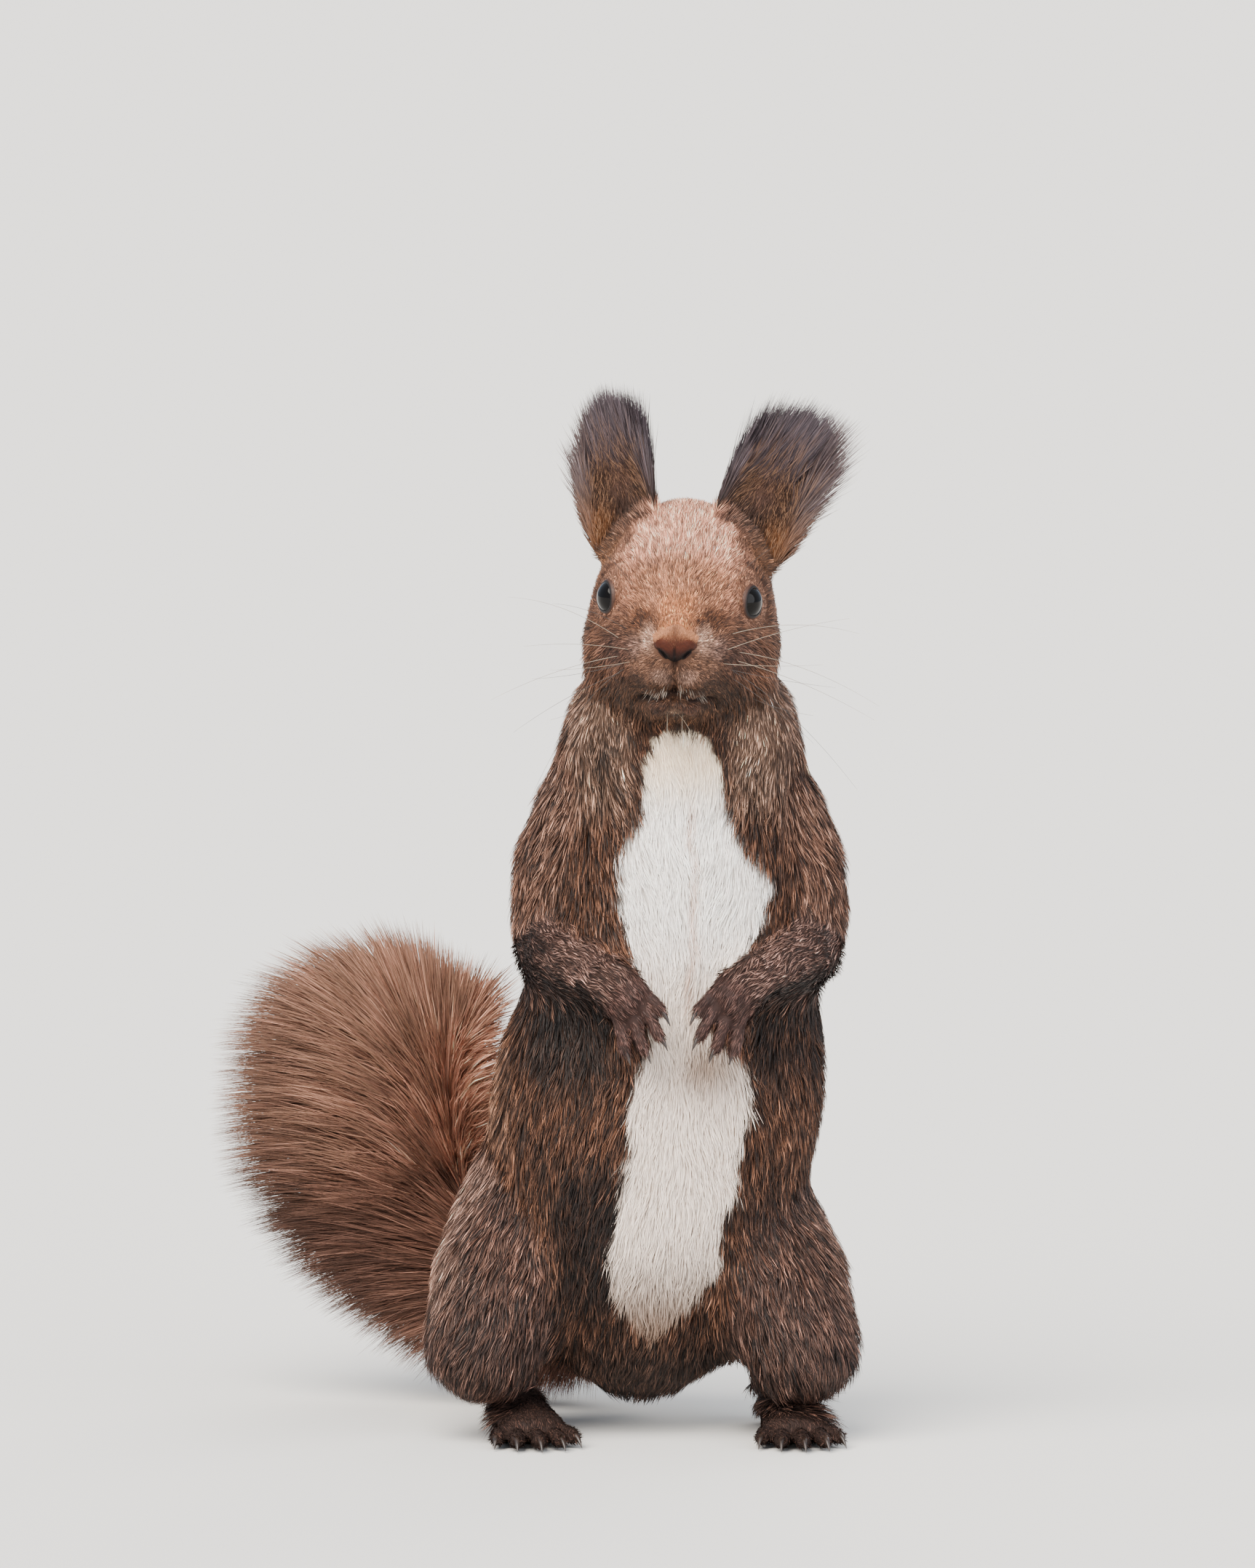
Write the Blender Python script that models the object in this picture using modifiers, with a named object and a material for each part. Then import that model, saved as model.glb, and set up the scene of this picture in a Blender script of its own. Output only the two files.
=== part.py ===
"""A Eurasian red squirrel standing upright on its hind feet, life size.

The solids are the animal's outline out to the tips of its coat, one named object for each part of the body.
It faces -Y, so its left side is at +X, and it stands on the plane Z = 0. Stations are written in millimetres.
"""

import math

import bmesh
import bpy
from mathutils import Matrix, Vector

# ---------------------------------------------------------------- driving sizes
CROWN_HEIGHT = 217.0  # ground to the top of the head, in millimetres
MM = 0.001 * CROWN_HEIGHT / 217.0  # metres for each millimetre written below
GAP = 0.35 * MM  # clearance between two solids that meet

BODY_MIDLINE = 5.5  # where the shoulders' middle stands, to the animal's left of the feet's middle
HEAD_CENTRE = (6.2, -4.0, 194.0)
HEAD_YAW, HEAD_ROLL, HEAD_PITCH = -2.7, 1.8, 0.0  # degrees
EYE_RADIUS = 4.8
EYE_PLACE = (15.0, 9.0, 0.7)  # side, forward, up, from the head's centre
HEAD_CUT = ((0.0, 0.0, 175.5), 27.0)  # a point on the cut between head and neck, and its slope in degrees
NECK_CUT = ((0.0, 0.0, 151.0), 12.0)
LIMB_MARGIN = 3.0  # how far a limb's solid reaches past its core, into the coat that blends with the trunk
BODY_TRIANGLES, HAND_TRIANGLES, FOOT_TRIANGLES = 2150, 300, 310

X, Y, Z = Vector((1, 0, 0)), Vector((0, 1, 0)), Vector((0, 0, 1))

# side, depth, height, half width, reach forwards, reach backwards
TORSO = (
    (-3.0, 13.0, 13.0, 15.0, 12.0, 13.0),
    (-3.0, 11.0, 20.0, 27.0, 20.0, 22.5),
    (-3.0, 9.0, 33.0, 34.0, 26.0, 28.5),
    (-2.6, 7.5, 48.0, 36.5, 29.5, 31.0),
    (-1.4, 6.0, 66.0, 39.0, 31.0, 31.5),
    (1.8, 4.0, 85.0, 39.0, 30.5, 30.5),
    (4.0, 3.0, 102.0, 35.8, 28.5, 28.5),
    (5.2, 2.0, 122.0, 32.0, 27.0, 26.5),
    (6.0, 1.5, 140.0, 29.5, 26.0, 25.0),
    (6.0, 1.5, 155.0, 27.5, 23.5, 23.5),
    (6.2, 2.0, 168.0, 25.0, 19.5, 22.0),
    (6.2, 5.0, 180.0, 22.5, 14.0, 19.0),
    (6.2, 8.0, 192.0, 19.0, 9.0, 15.0),
)

# forward, level of the widest point, half width, reach up, reach down
HEAD = (
    (-25.0, -2.0, 11.0, 10.0, 10.0),
    (-18.0, -3.0, 18.8, 20.5, 18.0),
    (-9.0, -9.0, 22.2, 31.8, 18.0),
    (1.0, -11.0, 22.4, 32.3, 16.5),
    (9.0, -11.0, 20.4, 27.3, 16.0),
    (16.0, -10.8, 16.4, 21.0, 14.7),
    (22.0, -10.5, 12.4, 15.8, 12.5),
    (27.0, -10.5, 9.6, 12.4, 9.5),
    (31.0, -9.6, 7.4, 8.6, 7.0),
    (33.4, -8.4, 4.4, 5.0, 4.6),
)
# side, forward, up, then the three radii; each is made on both sides
HEAD_SWELLS = (
    (6.3, 25.5, -12.0, 6.8, 7.6, 6.6),  # whisker pads
    (14.6, 3.0, -12.5, 8.4, 12.5, 10.5),  # cheeks
    (12.6, 9.6, 7.0, 4.2, 6.4, 3.6),  # brows
)
JAW = (
    (4.0, -22.5, 9.5, 4.5, 4.0),
    (12.0, -22.8, 9.0, 4.6, 4.2),
    (19.0, -22.6, 7.2, 4.8, 4.0),
    (24.0, -21.8, 5.0, 3.9, 3.4),
    (26.6, -20.8, 2.8, 2.2, 2.2),
)
NOSE = (
    (27.0, -6.8, 4.0, 3.0, 3.4),
    (31.0, -6.6, 4.7, 3.6, 4.2),
    (33.6, -6.8, 4.4, 3.3, 3.9),
    (35.0, -7.0, 2.9, 2.2, 2.6),
)

# along the ear, half width, bulge of the back, hollow of the front
EAR = (
    (-6.0, 7.6, 5.0, 0.4),
    (4.0, 10.6, 6.4, 2.4),
    (13.0, 10.8, 6.6, 3.6),
    (20.0, 10.6, 5.6, 3.0),
    (26.0, 9.4, 4.2, 1.8),
    (30.5, 6.8, 2.8, 0.8),
    (33.6, 3.2, 1.4, 0.2),
)
EAR_EDGE = 1.1  # half the thickness of the ear's edge, with its short hair
EARS = {
    "right": {"side": -1, "base": (12.6, -5.0, 14.5), "lean_out": 10.0, "turn_out": 28.0, "width": 1.02},
    "left": {"side": 1, "base": (13.0, -5.0, 13.2), "lean_out": 18.0, "turn_out": 24.0, "width": 1.12},
}
EAR_LEAN_BACK = 6.0

# distance from the midline, depth, height, radius
UPPER_ARM = (
    (16.0, 3.0, 156.0, 10.5),
    (21.5, 3.0, 146.0, 12.8),
    (26.8, 4.0, 132.0, 13.2),
    (29.6, 4.5, 119.0, 11.2),
)
FOREARM = (
    (30.0, 2.5, 114.0, 11.0),
    (26.8, -8.0, 112.6, 10.4),
    (21.5, -18.0, 110.8, 8.8),
    (17.0, -26.0, 109.0, 7.0),
)
# distance from the midline, depth, height, half width, half thickness
PALM = ((18.5, -24.0, 110.0, 6.4, 5.4), (14.5, -28.5, 106.5, 7.2, 5.2), (10.5, -31.5, 103.0, 6.6, 4.4))
# knuckle, fingertip and claw tip, each as distance from the midline, depth, height
FINGERS = (
    ((9.6, -31.0, 108.2), (4.0, -35.4, 102.6), (2.4, -36.6, 99.8)),
    ((8.6, -32.0, 104.4), (4.6, -36.2, 96.8), (3.0, -37.2, 94.2)),
    ((10.8, -31.4, 101.4), (8.2, -35.6, 93.8), (6.8, -36.6, 91.2)),
    ((13.8, -30.0, 100.2), (12.4, -33.6, 93.0), (11.4, -34.6, 90.6)),
)
FINGER_RADIUS, TOE_RADIUS, CLAW_RADIUS = 2.1, 2.5, 0.95

# side, depth, height, radius, from the hip to the knee
THIGHS = {
    "right": (
        (-25.5, 12.0, 64.0, 16.0),
        (-29.0, 6.0, 50.0, 18.8),
        (-34.5, -2.0, 36.5, 18.6),
        (-40.0, -8.0, 20.5, 15.4),
    ),
    "left": (
        (18.5, 12.0, 62.0, 16.0),
        (22.0, 6.0, 49.0, 18.0),
        (28.2, -2.0, 36.0, 18.2),
        (34.4, -8.0, 20.0, 15.2),
    ),
}
SHANKS = {
    "right": ((-38.5, -6.0, 22.0, 12.0), (-36.5, 5.0, 16.5, 10.6), (-34.5, 15.0, 11.5, 8.4)),
    "left": ((33.0, -6.0, 22.0, 11.8), (31.0, 5.0, 16.5, 10.6), (29.0, 15.0, 11.5, 8.4)),
}
FEET = {"right": ((-34.0, 21.0), (-28.5, -14.0)), "left": ((28.5, 21.0), (32.5, -14.0))}  # heel and ball
# along the foot as a share of heel to ball, half width, height of the instep
FOOT_SECTIONS = (
    (-0.04, 4.6, 8.0),
    (0.15, 6.0, 12.0),
    (0.45, 6.6, 11.5),
    (0.75, 7.8, 9.6),
    (1.0, 8.6, 8.0),
    (1.08, 7.6, 6.0),
)
# across the ball as a share of its half width, how far the toe reaches past it, its turn outwards in degrees
TOES = ((-0.78, 7.5, -16.0), (-0.42, 11.5, -7.0), (0.0, 12.6, 0.0), (0.42, 11.4, 7.0), (0.8, 7.0, 17.0))
CLAW_REACH = 4.2

# side, depth, height, reach outwards, reach inwards, half thickness, from the rump round to the tip
TAIL = (
    (-3.0, 33.0, 37.0, 12.0, 12.0, 12.0),
    (-12.0, 43.0, 28.0, 17.0, 14.0, 15.0),
    (-25.0, 51.0, 22.5, 23.0, 18.0, 18.5),
    (-41.0, 57.0, 30.0, 25.0, 21.0, 20.5),
    (-54.0, 60.0, 44.5, 31.5, 24.0, 22.0),
    (-62.0, 61.5, 62.0, 36.0, 28.0, 22.5),
    (-63.0, 62.0, 78.0, 39.5, 30.0, 21.5),
    (-58.5, 61.5, 91.0, 32.0, 26.5, 17.5),
    (-53.5, 61.0, 100.0, 19.0, 18.0, 12.0),
)
TAIL_DOME = 8.0
TAIL_CUTS = (0.30, 0.62)  # shares of the tail's length where it is divided


# ---------------------------------------------------------------- shape tools
def clear_scene():
    for obj in list(bpy.data.objects):
        bpy.data.objects.remove(obj)


def collection(name, shown=True):
    made = bpy.data.collections.new(name)
    bpy.context.scene.collection.children.link(made)
    made.hide_render = not shown
    return made


def spline(stations, steps):
    """A Catmull-Rom curve through stations of any length, sampled steps times between each two of them."""
    points = [Vector(s) for s in stations]
    points = [2 * points[0] - points[1], *points, 2 * points[-1] - points[-2]]
    made = []
    for i in range(1, len(points) - 2):
        a, b, c, d = points[i - 1 : i + 3]
        for k in range(steps):
            t = k / steps
            square = (2 * a - 5 * b + 4 * c - d) * t**2
            cube = (3 * b - a - 3 * c + d) * t**3
            made.append(0.5 * (2 * b + (c - a) * t + square + cube))
    made.append(points[-2])
    return made


def between(samples, start, stop):
    """The samples from start to stop, as shares of the path's length, with new ones made at both ends."""
    places = [Vector(s[:3]) for s in samples]
    lengths = [0.0]
    for a, b in zip(places, places[1:]):
        lengths.append(lengths[-1] + (b - a).length)
    low, high = start * lengths[-1], stop * lengths[-1]

    def at(length):
        i = max(k for k in range(len(lengths) - 1) if lengths[k] <= length)
        return samples[i].lerp(samples[i + 1], (length - lengths[i]) / (lengths[i + 1] - lengths[i]))

    inside = [s for s, length in zip(samples, lengths) if low + 0.6 < length < high - 0.6]
    return [at(low), *inside, at(min(high, lengths[-1] * 0.9999))]


def path_length(samples):
    return sum((Vector(b[:3]) - Vector(a[:3])).length for a, b in zip(samples, samples[1:]))


def closed_loft(name, rings, poles):
    """One closed mesh through rings of points, with a pole point at each end. Millimetres in, metres out."""
    bm = bmesh.new()
    rows = [[bm.verts.new(p * MM) for p in ring] for ring in rings]
    count = len(rings[0])
    for low, high in zip(rows, rows[1:]):
        for k in range(count):
            bm.faces.new((low[k], low[(k + 1) % count], high[(k + 1) % count], high[k]))
    for row, pole in ((rows[0], poles[0]), (rows[-1], poles[1])):
        tip = bm.verts.new(pole * MM)
        for k in range(count):
            bm.faces.new((row[k], row[(k + 1) % count], tip))
    bmesh.ops.recalc_face_normals(bm, faces=bm.faces)
    return new_object(name, bm)


def new_object(name, bm):
    mesh = bpy.data.meshes.new(name)
    bm.to_mesh(mesh)
    bm.free()
    return bpy.data.objects.new(name, mesh)


def oval(centre, across, deep, reach, sides):
    """A ring round centre. reach is how far it goes along +across, -across, -deep and +deep."""
    right, left, front, back = reach
    ring = []
    for k in range(sides):
        angle = 2 * math.pi * k / sides
        c, s = math.cos(angle), math.sin(angle)
        ring.append(centre + across * c * (right if c > 0 else left) + deep * s * (back if s > 0 else front))
    return ring


def tube(name, samples, across=X, sides=16, domes=(0.0, 0.0)):
    """A loft whose samples hold side, depth, height, then half width, reach forwards and reach backwards."""
    places = [Vector(s[:3]) for s in samples]
    rings, poles = [], []
    for i, (place, sample) in enumerate(zip(places, samples)):
        along = (places[min(i + 1, len(places) - 1)] - places[max(i - 1, 0)]).normalized()
        sideways = (across - across.dot(along) * along).normalized()
        deep = along.cross(sideways)
        width, front, back = sample[3:6]
        ring = oval(place, sideways, deep, (width, width, front, back), sides)
        rings.append(ring)
    for end, dome in ((0, domes[0]), (-1, domes[1])):
        inner = places[1] if end == 0 else places[-2]
        out = (places[end] - inner).normalized()
        poles.append(places[end] + out * dome)
        if dome:
            extra = [
                [
                    places[end] + (p - places[end]) * math.cos(turn) + out * dome * math.sin(turn)
                    for p in rings[end]
                ]
                for turn in (math.radians(35), math.radians(65))
            ]
            rings = [*reversed(extra), *rings] if end == 0 else [*rings, *extra]
    return closed_loft(name, rings, poles)


def limb(name, stations, steps=4, sides=16, domes=(6.0, 6.0), side=0, grow=0.0):
    """A tube with round sections. With a side, the first number is a distance from the body's midline."""
    rows = []
    for station in stations:
        x, y, z, *radii = station
        if side:
            x = BODY_MIDLINE + side * x
        wide, thick = (radii * 2)[:2]
        rows.append((x, y, z, wide + grow, thick + grow, thick + grow))
    return tube(name, spline(rows, steps), X, sides, [dome + grow for dome in domes])


def head_point(side, forward, up):
    """A place in the head's own frame, in millimetres, as the body's."""
    turn = (
        Matrix.Rotation(math.radians(HEAD_YAW), 3, "Z")
        @ Matrix.Rotation(math.radians(HEAD_ROLL), 3, "Y")
        @ Matrix.Rotation(math.radians(HEAD_PITCH), 3, "X")
    )
    return turn @ Vector((side, -forward, up)) + Vector(HEAD_CENTRE)


def head_loft(name, stations, steps=3, sides=28):
    """A loft along the head, from the nape to the nose."""
    rings = []
    for forward, level, width, up, down in spline(stations, steps):
        ring = oval(Vector((0, forward, level)), X, Z, (width, width, down, up), sides)
        rings.append([head_point(*p) for p in ring])
    ends = []
    for end, sign in ((0, -1), (-1, 1)):
        forward, level, width = stations[end][:3]
        ends.append(head_point(0, forward + sign * width * 0.22, level))
    return closed_loft(name, rings, ends)


def ball(name, centre, radii, columns=16, rows=10):
    bm = bmesh.new()
    bmesh.ops.create_uvsphere(bm, u_segments=columns, v_segments=rows, radius=1)
    scale = Matrix.Diagonal((*[r * MM for r in radii], 1))
    bmesh.ops.transform(bm, matrix=Matrix.Translation(centre * MM) @ scale, verts=bm.verts)
    return new_object(name, bm)


def baked(obj, modifiers):
    """obj with these modifiers applied to its mesh."""
    bpy.context.scene.collection.objects.link(obj)
    for kind, settings in modifiers:
        modifier = obj.modifiers.new(kind.title(), kind)
        for key, value in settings.items():
            setattr(modifier, key, value)
    bpy.context.view_layer.update()
    mesh = bpy.data.meshes.new_from_object(obj.evaluated_get(bpy.context.evaluated_depsgraph_get()))
    made = bpy.data.objects.new(obj.name, mesh)
    bpy.data.objects.remove(obj)
    return made


def fuse(name, pieces, voxel, smoothing, triangles):
    """One smooth skin round overlapping pieces, thinned to about this many triangles."""
    bm = bmesh.new()
    for piece in pieces:
        bm.from_mesh(piece.data)
        bpy.data.objects.remove(piece)
    joined = new_object(name, bm)
    smooth = {"factor": 0.5, "iterations": smoothing}
    whole = baked(joined, [("REMESH", {"mode": "VOXEL", "voxel_size": voxel * MM}), ("SMOOTH", smooth)])
    share = triangles / (2 * len(whole.data.polygons))
    thinned = baked(whole, [("DECIMATE", {"ratio": share})])
    thinned.name = name
    return thinned


def cut_flat(obj, height=0.0):
    """Cuts obj off at this height and closes it with a flat."""
    bm = bmesh.new()
    bm.from_mesh(obj.data)
    everything = [*bm.verts, *bm.edges, *bm.faces]
    bmesh.ops.bisect_plane(
        bm, geom=everything, dist=1e-7, plane_co=Z * height * MM, plane_no=-Z, clear_outer=True
    )
    rim = [e for e in bm.edges if e.is_boundary]
    bmesh.ops.contextual_create(bm, geom=rim)
    bmesh.ops.triangulate(bm, faces=[f for f in bm.faces if len(f.verts) > 4])
    bm.to_mesh(obj.data)
    bm.free()
    return obj


# ---------------------------------------------------------------- the parts of the body
def head_pieces():
    pieces = [head_loft("cranium", HEAD), head_loft("jaw", JAW, 2, 14)]
    for side in (-1, 1):
        for across, forward, up, *radii in HEAD_SWELLS:
            pieces.append(ball("swell", head_point(side * across, forward, up), radii))
    return pieces


def limb_piece(name, grow=0.0):
    """One length of an arm or leg, or with grow the room it takes out of its neighbours."""
    part, side = name.removeprefix("room_").removeprefix("wider_").rsplit("_", 1)
    sign = 1 if side == "left" else -1
    if part == "upper_arm":
        return limb(name, UPPER_ARM, 1, 10, (6.0, 10.0), sign, grow)
    if part == "forearm":
        return limb(name, FOREARM, 1, 10, (4.0, 6.0), sign, grow)
    stations = THIGHS[side] if part == "thigh" else SHANKS[side]
    return limb(name, stations, 1, 12, (8.0, 12.0), 0, grow)


def body(limbs):
    pieces = [tube("torso", spline(TORSO, 2), X, 30, (6.0, 4.0)), *head_pieces()]
    pieces.extend(limb_piece(name) for name in limbs)
    return fuse("body", pieces, 1.1, 5, BODY_TRIANGLES)


def above(name, cut, drop=0.0):
    """A block whose under side lies on a sloping cut, rising backwards, or this far below it."""
    (x, y, z), slope = cut
    size = 300.0
    bm = bmesh.new()
    bmesh.ops.create_cube(bm, size=size * MM)
    lift = Matrix.Translation(Z * (size / 2 - drop) * MM)
    place = Matrix.Translation(Vector((x, y, z)) * MM) @ Matrix.Rotation(math.radians(slope), 4, "X")
    bmesh.ops.transform(bm, matrix=place @ lift, verts=bm.verts)
    return new_object(name, bm)


def ear(name, side, base, lean_out, turn_out, width):
    """A cupped leaf that stands on the head, open forwards and a little outwards."""
    stand = (
        Matrix.Rotation(math.radians(side * lean_out), 3, "Y")
        @ Matrix.Rotation(math.radians(-EAR_LEAN_BACK), 3, "X")
        @ Matrix.Rotation(math.radians(side * turn_out), 3, "Z")
    )
    place = Vector((side * base[0], -base[1], base[2]))
    arc = [-1 + k / 3 for k in range(7)]  # from one edge of the ear to the other
    rings = []
    for along, half_width, bulge, hollow in spline(EAR, 2):
        outline = [(a, bulge * (1 - a**2) + EAR_EDGE) for a in arc]
        outline += [(a, hollow * (1 - a**2) - EAR_EDGE) for a in reversed(arc)]
        half = half_width * width
        ring = [place + stand @ Vector((half * a, depth - bulge * 0.5, along)) for a, depth in outline]
        rings.append([head_point(p.x, -p.y, p.z) for p in ring])
    ends = []
    for end, reach in ((0, -1.0), (-1, 1.2)):
        p = place + stand @ Vector((0, 0, EAR[end][0] + reach))
        ends.append(head_point(p.x, -p.y, p.z))
    return closed_loft(name, rings, ends)


def claw(root, tip, sag):
    """A hooked cone from root to tip that bends down by sag."""
    middle = (root + tip) / 2 + Z * sag
    radii = (CLAW_RADIUS, CLAW_RADIUS * 0.8, CLAW_RADIUS * 0.5)
    rows = [(*p, r, r, r) for p, r in zip((root, middle, tip), radii)]
    hint = X if abs((tip - root).normalized().x) < 0.8 else Z
    return tube("claw", spline(rows, 2), hint, 8, (0.0, 0.4))


def hand(name, side):
    pieces = [limb("palm", PALM, 3, 14, (3.0, 3.0), side)]
    for knuckle, tip, point in FINGERS:
        start, end, last = (Vector((BODY_MIDLINE + side * x, y, z)) for x, y, z in (knuckle, tip, point))
        bone = (end - start).normalized()
        rows = [(*(start - bone * 2), *[FINGER_RADIUS] * 3), (*end, *[FINGER_RADIUS * 0.8] * 3)]
        pieces.append(tube("finger", spline(rows, 4), Z, 10, (1.5, 1.5)))
        pieces.append(claw(end - bone * 0.6, last, 0.5))
    return fuse(name, pieces, 0.4, 2, HAND_TRIANGLES)


def foot(name, heel, ball_of_foot):
    heel, ball_of_foot = Vector((*heel, 0)), Vector((*ball_of_foot, 0))
    forward = (ball_of_foot - heel).normalized()
    sideways = forward.cross(Z)
    length = (ball_of_foot - heel).length
    rows = []
    for share, width, height in FOOT_SECTIONS:
        place = heel + forward * share * length + Z * height * 0.42
        rows.append((*place, width, height * 0.58, height * 0.58))
    pieces = [tube("sole", spline(rows, 3), sideways, 16, (3.0, 3.0))]
    for share, reach, turn in TOES:
        way = Matrix.Rotation(math.radians(-turn), 3, "Z") @ forward
        start = ball_of_foot + sideways * share * FOOT_SECTIONS[-2][1] + Z * TOE_RADIUS
        end = start + way * reach
        rows = [(*(start - way * 3), *[TOE_RADIUS * 1.05] * 3), (*end, *[TOE_RADIUS * 0.85] * 3)]
        pieces.append(tube("toe", spline(rows, 4), sideways, 10, (2.0, 2.0)))
        pieces.append(claw(end + way * 0.8 + Z * 0.6, end + way * CLAW_REACH - Z * 1.0, 0.9))
    return cut_flat(fuse(name, pieces, 0.5, 2, FOOT_TRIANGLES))


def tail():
    """Three lengths of one brush. Its sections lie across the tail, flattened from front to back."""
    samples = spline(TAIL, 2)
    half = GAP / MM / 2 / path_length(samples)
    ends = (0.0, *TAIL_CUTS, 1.0)
    made = {}
    for i, part in enumerate(("base", "middle", "tip")):
        start = ends[i] + (half if i else 0)
        stop = ends[i + 1] - (half if i < 2 else 0)
        made[f"tail_{part}"] = tail_length(f"tail_{part}", between(samples, start, stop), samples, i == 2)
    return made


def tail_length(name, samples, whole, last):
    places = [Vector(s[:3]) for s in samples]
    axis = [Vector(s[:3]) for s in whole]
    rings = []
    for place, sample in zip(places, samples):
        near = min(range(1, len(axis) - 1), key=lambda k: (axis[k] - place).length)
        along = (axis[near + 1] - axis[near - 1]).normalized()
        deep = (Y - Y.dot(along) * along).normalized()
        outer, inner, thick = sample[3:6]
        rings.append(oval(place, along.cross(deep), deep, (outer, inner, thick, thick), 20))
    poles = [places[0], places[-1]]
    if last:
        out = (places[-1] - places[-2]).normalized()
        end, final = places[-1], rings[-1]
        for turn in (35, 65):
            c, s = math.cos(math.radians(turn)), math.sin(math.radians(turn))
            rings.append([end + (p - end) * c + out * TAIL_DOME * s for p in final])
        poles[1] = end + out * TAIL_DOME
    return cut_flat(closed_loft(name, rings, poles))


# ---------------------------------------------------------------- materials and assembly
def material(name, colour, roughness):
    made = bpy.data.materials.new(name)
    made.use_nodes = True
    shader = made.node_tree.nodes["Principled BSDF"]
    shader.inputs["Base Color"].default_value = (*colour, 1)
    shader.inputs["Roughness"].default_value = roughness
    return made


def materials():
    return {
        "coat": material("coat_grey_brown", (0.19, 0.12, 0.09), 0.9),
        "dark": material("coat_dark", (0.07, 0.045, 0.04), 0.9),
        "eye": material("eye_black", (0.01, 0.01, 0.012), 0.08),
        "nose": material("nose_skin", (0.16, 0.07, 0.05), 0.5),
    }


def finish_of(name):
    kinds = {"eye": "eye", "nose": "nose", "hand": "dark", "foot": "dark", "ear": "dark"}
    return kinds.get(name.split("_")[0], "coat")


def as_cutter(obj, cutters, grow=0.0):
    obj.hide_render = True
    obj.display_type = "WIRE"
    if grow:
        modifier = obj.modifiers.new("Grow", "DISPLACE")
        modifier.strength = grow
        modifier.mid_level = 0.0
    cutters.objects.link(obj)
    return obj


def cut(obj, cutter, operation="DIFFERENCE"):
    modifier = obj.modifiers.new(f"{operation.title()} {cutter.name}", "BOOLEAN")
    modifier.operation = operation
    modifier.object = cutter


def copy_of(obj, name):
    return bpy.data.objects.new(name, obj.data.copy())


def body_parts(whole, limbs, cutters):
    """The body divided into limbs, trunk, neck and head. Each keeps clear of the ones named after it."""
    room, wider = {}, {}
    for name in limbs:
        room[name] = as_cutter(limb_piece(f"room_{name}", LIMB_MARGIN), cutters)
        wider[name] = as_cutter(limb_piece(f"wider_{name}", LIMB_MARGIN + GAP / MM), cutters)
    for name, place in (("neck", NECK_CUT), ("head", HEAD_CUT)):
        room[name] = as_cutter(above(f"room_{name}", place), cutters)
        wider[name] = as_cutter(above(f"wider_{name}", place, GAP / MM), cutters)
    uppers = [name for name in limbs if "upper" in name]
    keeps_clear = {"trunk": ["neck", *limbs], "neck": ["head", *uppers]}
    for side in ("left", "right"):
        keeps_clear[f"forearm_{side}"] = [f"upper_arm_{side}"]
        keeps_clear[f"shank_{side}"] = [f"thigh_{side}"]
    made = {}
    for name in ("trunk", "neck", "head", *limbs):
        made[name] = copy_of(whole, name)
        if name != "trunk":
            cut(made[name], room[name], "INTERSECT")
        for other in keeps_clear.get(name, []):
            cut(made[name], wider[other])
    return made


def to_origin(objects):
    """The move that brings the middle of everything's outline over the origin."""
    places = [v.co for obj in objects for v in obj.data.vertices]
    middle = [(min(p[k] for p in places) + max(p[k] for p in places)) / 2 for k in (0, 1)]
    return Matrix.Translation((-middle[0], -middle[1], 0.0))


def main():
    clear_scene()
    squirrel, cutters = collection("squirrel"), collection("cutters", shown=False)
    lengths = ("forearm", "upper_arm", "shank", "thigh")
    limbs = [f"{part}_{side}" for side in ("left", "right") for part in lengths]
    whole = body(limbs)
    solids = body_parts(whole, limbs, cutters)
    around = as_cutter(copy_of(whole, "body_room"), cutters, GAP)

    for name, part in tail().items():
        cut(part, around)
        solids[name] = part
    for name, sign in (("left", 1), ("right", -1)):
        solids[f"ear_{name}"] = ear(f"ear_{name}", **EARS[name])
        cut(solids[f"ear_{name}"], around)
        solids[f"hand_{name}"] = hand(f"hand_{name}", sign)
        cut(solids[f"hand_{name}"], around)
        solids[f"foot_{name}"] = foot(f"foot_{name}", *FEET[name])
        foot_room = as_cutter(copy_of(solids[f"foot_{name}"], f"foot_room_{name}"), cutters, GAP)
        for other in (f"shank_{name}", f"thigh_{name}", "tail_base", "tail_middle"):
            cut(solids[other], foot_room)
        across, forward, up = EYE_PLACE
        socket = head_point(sign * across, forward, up)
        solids[f"eye_{name}"] = ball(f"eye_{name}", socket, [EYE_RADIUS] * 3, 10, 7)
        grown = ball(f"socket_{name}", socket, [EYE_RADIUS + GAP / MM] * 3, 10, 7)
        cut(solids["head"], as_cutter(grown, cutters))
    solids["nose"] = head_loft("nose", NOSE, 1, 12)
    cut(solids["head"], as_cutter(copy_of(solids["nose"], "nose_room"), cutters, GAP))

    shift = to_origin(solids.values())
    finishes = materials()
    for name, obj in solids.items():
        obj.name = obj.data.name = name
        obj.data.materials.clear()
        obj.data.materials.append(finishes[finish_of(name)])
        obj.data.shade_smooth()
        squirrel.objects.link(obj)
    for obj in [*squirrel.objects, *cutters.objects]:
        obj.data.transform(shift)
    bpy.data.meshes.remove(whole.data)


main()
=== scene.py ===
import math

import bmesh
import bpy
import numpy as np
from mathutils import Matrix, Vector
from mathutils.kdtree import KDTree


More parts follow.
